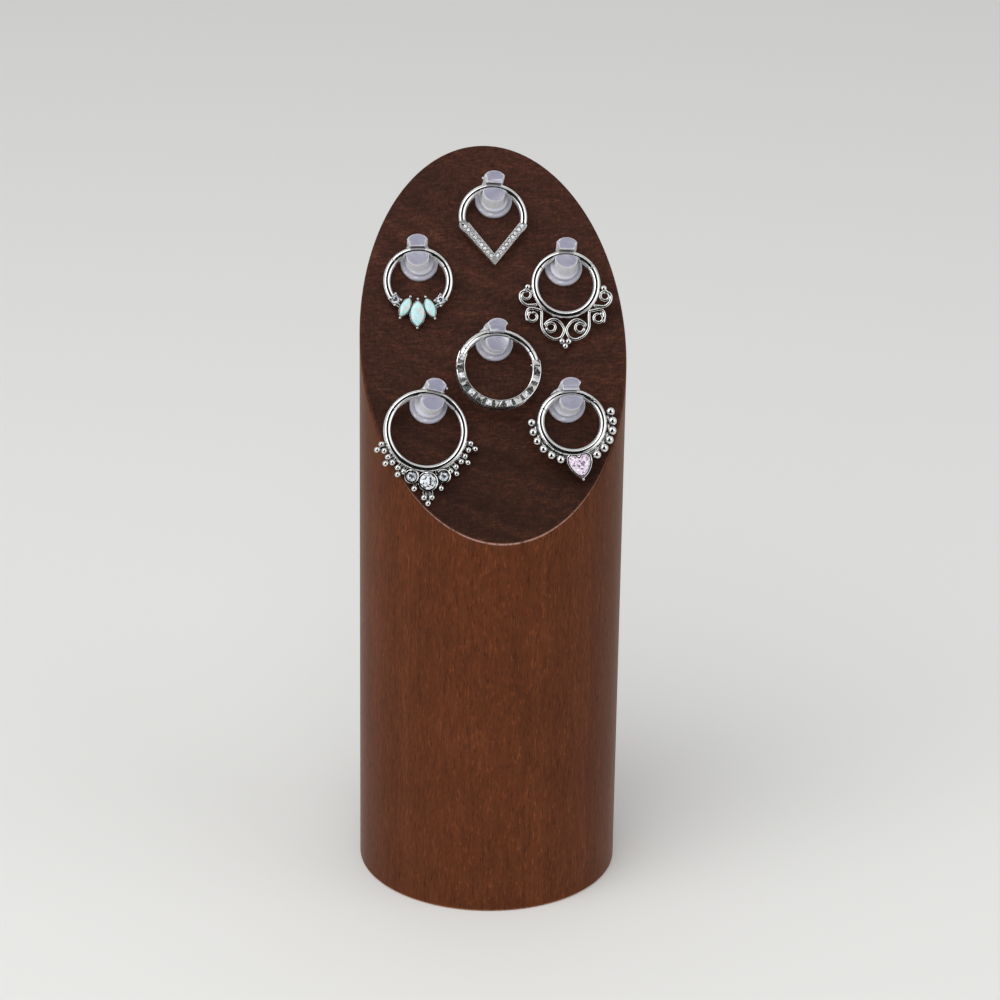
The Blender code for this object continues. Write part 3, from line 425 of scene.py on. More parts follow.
def box(width, depth, height, bevel=0.0):
    bm = bmesh.new()
    bmesh.ops.create_cube(bm, size=1.0)
    bmesh.ops.scale(bm, verts=bm.verts, vec=(width, depth, height))
    bevelled(bm, bm.edges[:], bevel, 3)
    return object_of("box", bm)


def ball(diameter, across=28, up=16):
    bm = bmesh.new()
    bmesh.ops.create_uvsphere(bm, u_segments=across, v_segments=up, radius=diameter / 2)
    return object_of("ball", bm)


def extruded(points, low, high, bevel=0.0):
    """A closed flat outline extruded from low to high, with its upper edge rounded."""
    bm = bmesh.new()
    floor = bm.faces.new([bm.verts.new((x, y, low)) for x, y in points])
    grown = bmesh.ops.extrude_face_region(bm, geom=[floor])
    top = [item for item in grown["geom"] if isinstance(item, bmesh.types.BMVert)]
    bmesh.ops.translate(bm, verts=top, vec=(0, 0, high - low))
    bmesh.ops.recalc_face_normals(bm, faces=bm.faces)
    rim = [edge for edge in bm.edges if all(abs(v.co.z - high) < WELD_DISTANCE for v in edge.verts)]
    bevelled(bm, rim, bevel, 3, clamp=True)
    return object_of("outline", bm, WELD_DISTANCE)


def round_profile(diameter, sides=32):
    angles = [2 * math.pi * n / sides for n in range(sides)]
    return [(diameter / 2 * math.cos(angle), diameter / 2 * math.sin(angle)) for angle in angles]


def turned(profile, sides):
    """A profile of (radius, height) pairs turned about Z."""
    bm = bmesh.new()
    rows = []
    for radius, height in profile:
        loop = round_profile(2 * radius, sides if radius else 1)
        rows.append([bm.verts.new((*point, height)) for point in loop])
    skinned(bm, rows)
    return object_of("turned", bm)


def tube(points, diameter, sides=16):
    """A round wire along points, with rounded ends."""
    path = [Vector(point) for point in points]
    last = len(path) - 1
    ways = [(path[min(n + 1, last)] - path[max(n - 1, 0)]).normalized() for n in range(len(path))]
    stations = [(path[0] - ways[0] * (diameter / 2 * past), ways[0], share) for share, past in WIRE_TIP[::-1]]
    stations += [(point, way, 1.0) for point, way in zip(path, ways)]
    stations += [(path[-1] + ways[-1] * (diameter / 2 * past), ways[-1], share) for share, past in WIRE_TIP]
    up = Vector((0, 1, 0)) if abs(ways[0].z) > NEARLY_UPRIGHT else UP
    bm = bmesh.new()
    rows = []
    for point, way, share in stations:
        side = way.cross(up).normalized()
        up = side.cross(way).normalized()
        profile = round_profile(diameter * share, sides if share else 1)
        rows.append([bm.verts.new(point + side * x + up * y) for x, y in profile])
    skinned(bm, rows)
    return object_of("wire", bm)


def smooth_path(points, steps):
    """Points on a smooth curve through the given ones (Catmull-Rom)."""
    given = [Vector(point) for point in points]
    ends = [2 * given[0] - given[1], *given, 2 * given[-1] - given[-2]]
    path = []
    for a, b, c, d in zip(ends, ends[1:], ends[2:], ends[3:]):
        for t in [n / steps for n in range(steps)]:
            bend = (2 * a - 5 * b + 4 * c - d) * t * t + (3 * b - a - 3 * c + d) * t**3
            path.append(0.5 * (2 * b + (c - a) * t + bend))
    path.append(given[-1])
    return path


def swept_arc(profile, radius, start, end, bevel=0.0):
    """A flat profile of (outward, z) points swept clockwise round the ring, from start to end degrees.

    Its ends, the only faces with more than four corners, can be rounded.
    """
    bm = bmesh.new()
    face = bm.faces.new([bm.verts.new((0.0, radius + outward, z)) for outward, z in profile])
    bmesh.ops.rotate(bm, verts=bm.verts, cent=(0, 0, 0), matrix=turned_by(-start).to_3x3())
    bmesh.ops.spin(
        bm,
        geom=[face, *face.edges, *face.verts],
        cent=(0, 0, 0),
        axis=(0, 0, 1),
        angle=math.radians(start - end),
        steps=max(1, round((end - start) / ARC_STEP)),
        use_merge=False,
    )
    bmesh.ops.remove_doubles(bm, verts=bm.verts, dist=WELD_DISTANCE)
    bmesh.ops.recalc_face_normals(bm, faces=bm.faces)
    bevelled(bm, [edge for face in bm.faces if len(face.verts) > 4 for edge in face.edges], bevel)
    return object_of("arc", bm)


def band_profile():
    """The flat band's section, outward by z: a rectangle with softened corners."""
    x, z = BAND_WIDTH / 2, BAND_THICKNESS / 2
    points = []
    for sx, sz in CORNERS:
        cuts = ((0.0, BAND_CORNER), (BAND_SOFTNESS, BAND_SOFTNESS), (BAND_CORNER, 0.0))
        corner = [(sx * (x - inwards), sz * (z - down)) for inwards, down in cuts]
        points += corner if sx * sz < 0 else corner[::-1]
    return points


def hull(points):
    bm = bmesh.new()
    for point in points:
        bm.verts.new(point)
    made = bmesh.ops.convex_hull(bm, input=bm.verts)
    loose = [v for v in made["geom_interior"] + made["geom_unused"] if isinstance(v, bmesh.types.BMVert)]
    bmesh.ops.delete(bm, geom=loose, context="VERTS")
    bmesh.ops.dissolve_limit(bm, angle_limit=math.radians(MERGE_ANGLE), verts=bm.verts, edges=bm.edges)
    return object_of("hull", bm)


def circle(radius, height, count, first):
    angles = [math.radians(first + 360 * n / count) for n in range(count)]
    return [(radius * math.cos(angle), radius * math.sin(angle), height) for angle in angles]


def mirrored(points):
    return [(-point[0], *point[1:]) for point in points]


def face_frame():
    """The slanted face's centre, with X to the right, Y upslope and Z straight out of the wood."""
    return at(z=FACE_CENTRE_HEIGHT) @ Matrix.Rotation(CUT_ANGLE, 4, "X")


def face_normal():
    return face_frame().to_3x3() @ UP


def holder_frame(place):
    return face_frame() @ at(place.across * BLOCK_RADIUS, place.upslope * FACE_HALF_LENGTH)


def stem_frame(place):
    lean = turned_by(-place.lean_up, "X") @ turned_by(place.lean_side, "Y") @ turned_by(-place.twist)
    return at(x=place.shift, z=FLANGE_THICKNESS) @ lean @ at(z=-FLANGE_THICKNESS)


def grip_frame(place):
    """The middle of the gripped wire in the stem's frame, with X along the slot and the ring down its -Y."""
    return at(0.0, SLOT_RISE, SLOT_DEPTH_CENTRE) @ turned_by(place.lean_up - place.lift, "X")


def wire_path_radius(place):
    return place.bore / 2 + WIRE_RADIUS


def ring_frame(place):
    """The ring's centre, with -Y along the axis of its decoration and Z towards the viewer."""
    hang = at(y=-wire_path_radius(place)) @ turned_by(place.twist - place.turn)
    return holder_frame(place) @ stem_frame(place) @ grip_frame(place) @ hang


# Materials

GRAIN_TURN = (0.0, 0.0, 14.0)
LONG_GRAIN = (
    (0.36, (0.068, 0.0182, 0.0066)), (0.47, (0.090, 0.0245, 0.0084)), (0.54, (0.104, 0.0292, 0.0100)),
    (0.64, (0.132, 0.0385, 0.0135)),
)
END_GRAIN = (
    (0.36, (0.0110, 0.0034, 0.0018)), (0.46, (0.0215, 0.0068, 0.0034)), (0.53, (0.0320, 0.0104, 0.0052)),
    (0.63, (0.0620, 0.0205, 0.0095)),
)
# Painted light: how much lighter the upper part of the slanted face is made
PAINTED_FACE_TOP_LIGHT = (1.5, 1.55, 1.85)
FLAKE_GAIN = (1.9, 1.8, 1.7)
VESSEL_COLOUR = (0.010, 0.0038, 0.0024)
BARE_RIM = (0.34, 0.20, 0.165)
BARE_FOOT = (0.34, 0.115, 0.040)
# Painted light on the silicone: a whitish glow that grows with height, bluish grey shade where it is deep, a
# highlight at its edges
LIT_THIN_SILICONE = ((0.12, (0.46, 0.46, 0.54)), (0.50, (0.66, 0.66, 0.735)), (0.62, (0.90, 0.90, 0.94)))
SHADED_DEEP_SILICONE = ((0.30, (0.262, 0.256, 0.345)), (0.70, (0.315, 0.310, 0.400)))
DUST_COLOUR = (0.86, 0.85, 0.90)
PAINTED_EDGE_HIGHLIGHT = (0.86, 0.86, 0.89)
OPAL_FIRE = (
    (0.0, (0.30, 0.62, 0.60)), (0.30, (0.42, 0.70, 0.72)), (0.52, (0.48, 0.72, 0.64)),
    (0.68, (0.72, 0.60, 0.54)), (0.82, (0.76, 0.42, 0.37)), (1.0, (0.36, 0.56, 0.78)),
)
OPAL_MILK = (0.46, 0.67, 0.71)


def filled(tree, node, values):
    """Sets a node's inputs. Each value is a number, a vector, an (r, g, b) or another node's output."""
    for name, value in values.items():
        socket = node.inputs[name]
        if isinstance(value, bpy.types.NodeSocket):
            tree.links.new(value, socket)
        elif socket.type == "RGBA":
            socket.default_value = (*value, 1.0)
        else:
            socket.default_value = value
    return node


def added(tree, kind, values, **settings):
    node = tree.nodes.new(f"ShaderNode{kind}")
    for name, value in settings.items():
        setattr(node, name, value)
    return filled(tree, node, values)


def principled(name):
    """A new material with its node tree and its shader."""
    material = bpy.data.materials.new(name)
    material.use_nodes = True
    return material, material.node_tree, material.node_tree.nodes["Principled BSDF"]


def own(tree, name):
    """The piece's own place or normal."""
    return added(tree, "TexCoord", {}).outputs[name]


def own_place(tree):
    """The piece's own place, in mm."""
    return vectors(tree, "MULTIPLY", own(tree, "Object"), (1 / METRES_PER_MM,) * 3)


def sums(tree, operation, *values):
    return added(tree, "Math", dict(enumerate(values)), operation=operation).outputs[0]


def vectors(tree, operation, *values):
    node = added(tree, "VectorMath", dict(enumerate(values)), operation=operation)
    return node.outputs["Value" if operation in ("DOT_PRODUCT", "LENGTH") else "Vector"]


def weighed(tree, *parts):
    """The sum of values, each times its weight."""
    total, *terms = [sums(tree, "MULTIPLY", value, weight) for value, weight in parts]
    for term in terms:
        total = sums(tree, "ADD", total, term)
    return total


def stretched(tree, vector, scale, turn=(0.0, 0.0, 0.0), shift=(0.0, 0.0, 0.0)):
    """The place turned, shifted and scaled by axis."""
    angles = [math.radians(angle) for angle in turn]
    values = {"Vector": vector, "Rotation": angles, "Scale": scale, "Location": shift}
    return added(tree, "Mapping", values).outputs["Vector"]


def noise(tree, vector, scale=1.0, detail=2.0, roughness=0.5, dimensions="3D", output="Fac"):
    values = {"Scale": scale, "Detail": detail, "Roughness": roughness}
    values["W" if dimensions == "1D" else "Vector"] = vector
    return added(tree, "TexNoise", values, noise_dimensions=dimensions).outputs[output]


def cell_chance(tree, vector, scale):
    """A random number for each cell of a pattern of cells."""
    pattern = added(tree, "TexVoronoi", {"Scale": scale, "Vector": vector})
    return added(tree, "SeparateColor", {"Color": pattern.outputs["Color"]}).outputs["Red"]


def ramp(tree, value, *stops):
    """A colour ramp. Each stop is a position and a grey value or an (r, g, b)."""
    node = added(tree, "ValToRGB", {"Fac": value})
    elements = node.color_ramp.elements
    while len(elements) < len(stops):
        elements.new(0.5)
    for element, (position, colour) in zip(elements, stops):
        element.position = position
        element.color = (*colour, 1.0) if isinstance(colour, tuple) else (colour, colour, colour, 1.0)
    return node.outputs["Color"]


def mixed(tree, factor, first, second, blend="MIX"):
    """Mixes two colours, by the numbers of the colour sockets of the mix node."""
    return added(tree, "Mix", {0: factor, 6: first, 7: second}, data_type="RGBA", blend_type=blend).outputs[2]


def spread(tree, value, low, high, to_low=0.0, to_high=1.0):
    values = {"Value": value, "From Min": low, "From Max": high, "To Min": to_low, "To Max": to_high}
    return added(tree, "MapRange", values).outputs["Result"]


def bumped(tree, shader, height, strength, depth_mm):
    values = {"Strength": strength, "Distance": depth_mm * METRES_PER_MM, "Height": height}
    filled(tree, shader, {"Normal": added(tree, "Bump", values).outputs["Normal"]})


def openness_for_painted_shade(tree, reach_mm):
    """How open the surface is, for painted shade: 0 deep in a crevice, 1 in the open."""
    node = added(tree, "AmbientOcclusion", {"Distance": reach_mm * METRES_PER_MM}, samples=CREVICE_SAMPLES)
    return node.outputs["AO"]


def edges(tree, low, high):
    """0 on flat places and 1 on the outward edges of a mesh."""
    return spread(tree, added(tree, "NewGeometry", {}).outputs["Pointiness"], low, high)


def dotted(tree, vector, direction):
    return vectors(tree, "DOT_PRODUCT", vector, direction)


def above_face(tree, place):
    """How far a place is out of the slanted face, in mm."""
    out = face_normal()
    return sums(tree, "SUBTRACT", dotted(tree, place, out), face_frame().translation.dot(out))


def wood_material():
    """Stained hardwood: growth rings about a far pith, short dark vessels, bare wood at the rims, and painted
    light on the upper face.
    """
    material, tree, shader = principled("stained_wood")
    place = own_place(tree)
    wave = noise(tree, place, 0.16, output="Color")
    wavy = vectors(tree, "MULTIPLY_ADD", wave, (2.2, 2.2, 0.0), place)
    from_pith = stretched(tree, wavy, (1.0, 1.0, 0.012), shift=(-16.0, -62.0, 0.0))
    rings = noise(tree, vectors(tree, "LENGTH", from_pith), 0.45, 2.0, 0.6, dimensions="1D")
    streaks = noise(tree, stretched(tree, wavy, (0.6, 4.2, 0.22), GRAIN_TURN), 1.0, 4.0, 0.68)
    grain = noise(tree, stretched(tree, place, (2.4, 2.4, 0.16)), 1.0, 4.0, 0.65)
    blotches = noise(tree, place, 0.07)
    vessels = noise(tree, stretched(tree, place, (7.5, 7.5, 0.75)), 1.0, 2.0, 0.55)
    flakes = noise(tree, stretched(tree, place, (2.2, 7.0, 0.8), GRAIN_TURN, (3.0, 9.0, 4.0)), 1.0, 1.0)
    worn = noise(tree, place, 1.6, 3.0, 0.6)
    tone = weighed(tree, (streaks, 0.40), (rings, 0.15), (grain, 0.28), (blotches, 0.17))
    height = dotted(tree, place, UP)
    end_grain = ramp(tree, tone, *END_GRAIN)
    # Painted light: the upper part of the slanted face is made lighter
    lit_upper_face = mixed(tree, 1.0, end_grain, PAINTED_FACE_TOP_LIGHT, "MULTIPLY")
    end_grain = mixed(tree, spread(tree, height, 72.0, 94.0), end_grain, lit_upper_face)
    across_grain = spread(tree, dotted(tree, own(tree, "Normal"), UP), 0.15, 0.6)
    colour = mixed(tree, across_grain, ramp(tree, tone, *LONG_GRAIN), end_grain)
    dark = ramp(tree, vessels, (0.57, 0.0), (0.68, 1.0))
    colour = mixed(tree, sums(tree, "MULTIPLY", dark, 0.55), colour, VESSEL_COLOUR)
    bright = ramp(tree, flakes, (0.60, 0.0), (0.72, 1.0))
    flake = mixed(tree, 1.0, colour, FLAKE_GAIN, "MULTIPLY")
    colour = mixed(tree, sums(tree, "MULTIPLY", bright, 0.55), colour, flake)
    from_axis = vectors(tree, "LENGTH", vectors(tree, "MULTIPLY", place, (1.0, 1.0, 0.0)))
    near_side = spread(tree, from_axis, BLOCK_RADIUS - 0.18, BLOCK_RADIUS - 0.12)
    rim = sums(tree, "MULTIPLY", spread(tree, above_face(tree, place), -0.17, -0.11), near_side)
    rim = sums(tree, "MULTIPLY", rim, ramp(tree, worn, (0.34, 0.25), (0.50, 1.0)))
    colour = mixed(tree, rim, colour, BARE_RIM)
    foot = spread(tree, height, 0.22, 0.38, 1.0, 0.0)
    foot = sums(tree, "MULTIPLY", foot, ramp(tree, worn, (0.36, 0.2), (0.54, 1.0)))
    filled(tree, shader, {
        "Base Color": mixed(tree, foot, colour, BARE_FOOT),
        "Roughness": spread(tree, vessels, 0.3, 0.8, 0.46, 0.66),
        "Specular IOR Level": 0.08,
        "Sheen Weight": 0.16,
        "Sheen Roughness": 0.3,
        "Sheen Tint": (1.0, 0.86, 0.70),
    })
    bumped(tree, shader, sums(tree, "SUBTRACT", sums(tree, "MULTIPLY", grain, 0.5), dark), 0.25, 0.03)
    return material


def silicone_material():
    """Milky silicone with dust, its light painted in: painted shade, bluish grey, where it is deep, a painted
    whitish glow where it is thin, a painted highlight at its edges, painted shade in crevices.
    """
    material, tree, shader = principled("milky_silicone")
    place = own_place(tree)
    height = above_face(tree, place)
    # Painted shade on faces that look straight out, high on the holder; lower and sideways places get a
    # painted whitish glow
    front = spread(tree, dotted(tree, own(tree, "Normal"), face_normal()), 0.50, 0.86)
    painted_deep_shade = sums(tree, "MULTIPLY", front, spread(tree, height, 1.6, 3.2))
    cloud = noise(tree, place, 0.8, 3.0, 0.55)
    dust = noise(tree, place, 9.0, 2.0, 0.6)
    lit_thin_colour = ramp(tree, spread(tree, height, 0.5, 2.1), *LIT_THIN_SILICONE)
    colour = mixed(tree, painted_deep_shade, lit_thin_colour, ramp(tree, cloud, *SHADED_DEEP_SILICONE))
    specks = ramp(tree, dust, (0.66, 0.0), (0.76, 1.0))
    colour = mixed(tree, sums(tree, "MULTIPLY", specks, 0.4), colour, DUST_COLOUR)
    # Painted highlight on the outward edges
    colour = mixed(tree, sums(tree, "MULTIPLY", edges(tree, 0.505, 0.55), 0.7), colour, PAINTED_EDGE_HIGHLIGHT)
    # Painted shade in crevices and between parts
    painted_crevice_shade = spread(tree, openness_for_painted_shade(tree, 0.6), 0.30, 0.75, 0.60, 1.0)
    filled(tree, shader, {
        "Base Color": mixed(tree, 1.0, colour, painted_crevice_shade, "MULTIPLY"),
        "Roughness": spread(tree, dust, 0.3, 0.8, 0.26, 0.42),
        "IOR": 1.41,
        "Transmission Weight": 0.20,
        "Subsurface Weight": 0.5,
        "Subsurface Radius": (1.0, 0.95, 1.05),
        "Subsurface Scale": 0.5 * METRES_PER_MM,
        "Sheen Weight": 0.25,
        "Sheen Roughness": 0.35,
    })
    bumped(tree, shader, dust, 0.2, 0.01)
    return material


def steel_material(name, colour, rough_low, rough_high, darkest_crevice_shade):
    """Polished surgical steel with hairline polishing marks, and painted shade that darkens it in crevices.
    """
    material, tree, shader = principled(name)
    place = own_place(tree)
    marks = noise(tree, stretched(tree, place, (3.0, 30.0, 9.0), (20.0, 35.0, 10.0)), 1.0, 3.0, 0.6)
    smudges = noise(tree, place, 0.9)
    tint = ramp(tree, smudges, (0.25, tuple(part * 0.94 for part in colour)), (0.75, colour))
    # Painted shade in crevices and between parts
    painted_crevice_shade = spread(tree, openness_for_painted_shade(tree, 0.35), 0.35, 0.80, darkest_crevice_shade, 1.0)
    filled(tree, shader, {
        "Base Color": mixed(tree, 1.0, tint, painted_crevice_shade, "MULTIPLY"),
        "Metallic": 1.0,
        "Roughness": spread(tree, marks, 0.3, 0.75, rough_low, rough_high),
    })
    bumped(tree, shader, marks, 0.06, 0.006)
    return material


def painted_facet_sparkle(tree, chance, shares, bright, middle, dark):
    """Gives each cell a painted tone by chance: a painted dark reflection up to the first share, middle up to
    the second, else a painted highlight.
    """
    low, high = shares
    return ramp(tree, chance, (low, dark), (low + 0.05, middle), (high, middle), (high + 0.04, bright))


def crystal_material(name, painted_sparkle, crown_shares, table_shares, cloudiness, ior):
    """Cut glass with painted sparkle: each facet gets a painted highlight, a middle tone or a painted
    reflection of the dark setting.
    """
    material, tree, shader = principled(name)
    place = own_place(tree)
    normal = own(tree, "Normal")
    chance = cell_chance(tree, vectors(tree, "MULTIPLY_ADD", normal, (1.1, 1.1, 1.1), place), 3.2)
    crown = painted_facet_sparkle(tree, chance, crown_shares, *painted_sparkle)
    table = painted_facet_sparkle(tree, chance, table_shares, *painted_sparkle)
    tone = mixed(tree, spread(tree, dotted(tree, normal, face_normal()), 0.93, 0.97), crown, table)
    cloud = noise(tree, place, 5.0)
    filled(tree, shader, {
        "Base Color": mixed(tree, spread(tree, cloud, 0.35, 0.65, 0.0, cloudiness), tone, painted_sparkle[0]),
        "Roughness": spread(tree, noise(tree, place, 14.0), 0.3, 0.7, 0.0, 0.05),
        "IOR": ior,
        "Transmission Weight": 0.28,
    })
    return material


def opal_material():
    """Pale mint opal with flecks of pink, peach, green and blue fire under a clear polish."""
    material, tree, shader = principled("mint_opal")
    place = own_place(tree)
    bent = vectors(tree, "MULTIPLY_ADD", noise(tree, place, 2.0, output="Color"), (0.7, 0.7, 0.7), place)
    fire = ramp(tree, cell_chance(tree, bent, 2.6), *OPAL_FIRE)
    milk = noise(tree, place, 1.1, 3.0)
    filled(tree, shader, {
        "Base Color": mixed(tree, spread(tree, milk, 0.35, 0.65, 0.15, 0.6), fire, OPAL_MILK),
        "Roughness": spread(tree, milk, 0.3, 0.7, 0.10, 0.22),
        "Subsurface Weight": 0.3,
        "Subsurface Scale": 0.25 * METRES_PER_MM,
        "Coat Weight": 0.6,
        "Coat Roughness": 0.05,
    })
    return material


WOOD = wood_material()
SILICONE = silicone_material()
STEEL = steel_material("polished_steel", (0.77, 0.77, 0.765), 0.012, 0.045, 0.30)
BRIGHT_STEEL = steel_material("bright_cut_steel", (0.84, 0.84, 0.83), 0.09, 0.16, 0.35)
SATIN_STEEL = steel_material("satin_steel", (0.82, 0.82, 0.81), 0.24, 0.36, 0.35)
# Painted sparkle of the stones: a highlight, a middle tone and a dark reflection of the setting, in that
# order
CLEAR_SPARKLE = ((0.94, 0.97, 1.0), (0.30, 0.36, 0.46), (0.008, 0.010, 0.018))
SMALL_SPARKLE = ((0.92, 0.93, 0.95), (0.45, 0.45, 0.47), (0.05, 0.05, 0.06))
PINK_SPARKLE = ((1.0, 0.90, 1.0), (0.72, 0.58, 0.76), (0.10, 0.055, 0.12))
CRYSTAL = crystal_material("cut_crystal", CLEAR_SPARKLE, (0.16, 0.36), (0.58, 0.72), 0.1, 1.6)
SMALL_CRYSTAL = crystal_material("small_crystal", SMALL_SPARKLE, (0.18, 0.52), (0.18, 0.52), 0.35, 1.6)
PINK_CRYSTAL = crystal_material("pink_crystal", PINK_SPARKLE, (0.17, 0.52), (0.17, 0.52), 0.35, 1.55)
OPAL = opal_material()


# Wood block


def wood_block():
    bm = bmesh.new()
    radii = {"radius1": TURNED_RADIUS, "radius2": TURNED_RADIUS}
    bmesh.ops.create_cone(bm, cap_ends=True, segments=BLOCK_SIDES, depth=3 * BLOCK_TOP, **radii)
    middle = face_frame().translation
    out = face_normal()
    for spot, way in (((0, 0, 0), (0, 0, -1)), (middle, out)):
        everything = [*bm.verts, *bm.edges, *bm.faces]
        bmesh.ops.bisect_plane(bm, geom=everything, plane_co=spot, plane_no=way, clear_outer=True)
    bmesh.ops.holes_fill(bm, edges=[edge for edge in bm.edges if edge.is_boundary])
    bmesh.ops.recalc_face_normals(bm, faces=bm.faces)
    rim = [edge for edge in bm.edges if all(abs((v.co - middle).dot(out)) < FLATNESS for v in edge.verts)]
    foot = [edge for edge in bm.edges if all(abs(v.co.z) < FLATNESS for v in edge.verts)]
    bevelled(bm, rim, RIM_CHAMFER, CHAMFER_STEPS, RIM_PROFILE)
    bevelled(bm, [edge for edge in foot if edge.is_valid], FOOT_CHAMFER, CHAMFER_STEPS)
    block = object_of("block", bm)
    for place in PLACES:
        hole = cylinder(HOLE_DIAMETER, -HOLE_DEPTH, 2 * FLANGE_THICKNESS, HOLE_SIDES)
        block = cut(block, moved(hole, holder_frame(place)))
    piece(block, "turned_block", "stand", WOOD, ["wood_block"], IN_PLACE, BLOCK_SHARP)
    weights = block.modifiers.new("normals", "WEIGHTED_NORMAL")
    weights.keep_sharp = True
    weights.weight = NORMAL_WEIGHT


# Silicone holders


def stem_outline():
    """The stem from above: a half circle at its foot, and a half ellipse behind the slot."""
    radius = STEM_WIDTH / 2
    points = []
    for centre, first, reach in ((SLOT_ROOF, 0, HEAD_RISE), (0.0, 180, radius)):
        for n in range(STEM_STEPS + 1):
            angle = math.radians(first + 180 * n / STEM_STEPS)
            points.append((radius * math.cos(angle), centre + reach * math.sin(angle)))
    return points


def slot_outline(place):
    """The slot from above: its floor follows the ring, and its roof is straight."""
    inner = place.bore / 2 - SLOT_CLEARANCE
    centre = SLOT_RISE - wire_path_radius(place)
    roof = SLOT_ROOF + SLOT_CLEARANCE
    half_angle = math.asin(SLOT_REACH * STEM_WIDTH / inner)
    angles = [half_angle * (2 * n / SLOT_STEPS - 1) for n in range(SLOT_STEPS + 1)]
    points = [(inner * math.sin(angle), centre + inner * math.cos(angle)) for angle in angles]
    half = points[-1][0]
    return [*points, (half, roof), (-half, roof)]


def holder(place):
    """A moulded holder. Its joined parts are remeshed finely and smoothed, which rounds edges and corners."""
    stem = extruded(stem_outline(), BOSS_TOP / 2, HEAD_TOP, JAW_ROUNDING)
    slot_floor = SLOT_DEPTH_CENTRE - WIRE_RADIUS - SLOT_FLOOR_CLEARANCE
    over_jaw = at(0.0, SLOT_ROOF - STEM_WIDTH, LOWER_JAW_TOP + HEAD_TOP / 2)
    trim = moved(box(2 * STEM_WIDTH, 2 * STEM_WIDTH, HEAD_TOP), over_jaw)
    stem = cut(stem, extruded(slot_outline(place), slot_floor, 2 * HEAD_TOP), trim)
    lip = [(x, SLOT_ROOF + rise, z) for x in (-LIP_WIDTH / 2, LIP_WIDTH / 2) for rise, z in LIP_SECTION]
    stem = fused(stem, hull(lip))
    for side in (-1, 1):
        waist = at(side * (WAIST_WIDTH / 2 + WAIST_RADIUS), SLOT_ROOF + WAIST_RISE)
        stem = cut(stem, moved(cylinder(2 * WAIST_RADIUS, BOSS_TOP, 2 * HEAD_TOP), waist))
    if place.nub:
        gate = at(place.nub * STEM_WIDTH / 2, SLOT_ROOF + GATE_RISE, HEAD_TOP - GATE_DROP)
        stem = fused(stem, moved(ball(GATE_NUB, *GATE_BALL), gate))
    shape = fused(turned(BASE_PROFILE, BASE_SIDES), moved(stem, stem_frame(place)))
    remesh = shape.modifiers.new("remesh", "REMESH")
    remesh.mode = "VOXEL"
    remesh.voxel_size = REMESH_SIZE
    soften = shape.modifiers.new("soften", "SMOOTH")
    soften.factor = SOFTEN_FACTOR
    soften.iterations = SOFTEN_ROUNDS
    fewer = shape.modifiers.new("fewer", "DECIMATE")
    fewer.ratio = FACES_KEPT
    name = f"holder_{place.name}"
    piece(baked(shape), f"moulded_{name}", "stand", SILICONE, [name], holder_frame(place), 0)


# Rings


def hinge_frame(place):
    return on_ring(place.hinge, wire_path_radius(place))


def hinge_side(place):
    return 1 if place.hinge > 0 else -1


def along_wire(place, length):
    """The angle that a length along the wire takes up."""
    return math.degrees(length / wire_path_radius(place))


def pin_hole(place):
    hole = cylinder(PIN_DIAMETER + 2 * PIN_CLEARANCE, -WIRE_DIAMETER, WIRE_DIAMETER, PIN_SIDES)
    return moved(hole, hinge_frame(place))


def snap_ball(place, clearance):
    """The snap's ball, sunk in the segment's end so that only its nub stands out, or the recess for it."""
    sunk = hinge_side(place) * along_wire(place, SEAM_GAP / 2 + NUB_DIAMETER / 2 - NUB_RISE)
    shape = ball(NUB_DIAMETER + 2 * clearance, *SNAP_BALL)
    return moved(shape, on_ring(place.snap + sunk, wire_path_radius(place)))


def segment(place):
    side = hinge_side(place)
    hinge_end = place.hinge - side * along_wire(place, HORN_START)
    snap_end = place.snap + side * along_wire(place, SEAM_GAP / 2)
    low, high = sorted((hinge_end, snap_end))
    wire = swept_arc(round_profile(WIRE_DIAMETER), wire_path_radius(place), low, high, WIRE_ROUNDING)
    hollow = cylinder(2 * KNUCKLE_REACH, -WIRE_DIAMETER, WIRE_DIAMETER, FORK_SIDES)
    wire = cut(wire, moved(hollow, hinge_frame(place)))
    tongue = cylinder(TONGUE_DIAMETER, -TONGUE_THICKNESS / 2, TONGUE_THICKNESS / 2, FORK_SIDES)
    web_length = KNUCKLE_REACH + TONGUE_ROOT
    web = box(web_length, TONGUE_WEB, TONGUE_THICKNESS - 2 * TONGUE_WEB_INSET)
    tongue = fused(tongue, moved(web, at(-side * web_length / 2)))
    wire = fused(wire, moved(tongue, hinge_frame(place)), snap_ball(place, 0.0))
    name = f"{place.name}_segment"
    piece(cut(wire, pin_hole(place)), f"{name}_wire", name, STEEL, [name], ring_frame(place))


def ring_piece(obj, place, node, finish, material, matrix, sharp):
    """A piece that moves with the ring's body, at its place in the ring."""
    name = f"{place.name}_{node}"
    matrix = ring_frame(place) @ matrix
    piece(obj, f"{name}_{finish}", f"{place.name}_ring", material, [name], matrix, sharp)


def hinge_pin(place):
    pin = cylinder(PIN_DIAMETER, -PIN_LENGTH / 2, PIN_LENGTH / 2, PIN_SIDES, FINE_ROUNDING)
    ring_piece(pin, place, "hinge_pin", "turned", STEEL, hinge_frame(place), WIRE_SHARP)


def body_ends(place):
    """Where a ring body's wire starts and ends, clockwise. It passes its hinge by the knuckle's size."""
    opening = along_wire(place, SEAM_GAP / 2)
    knuckle = along_wire(place, KNUCKLE_REACH)
    if place.hinge < 0:
        return place.snap + opening, 360 + place.hinge + knuckle
    return place.hinge - knuckle, 360 + place.snap - opening


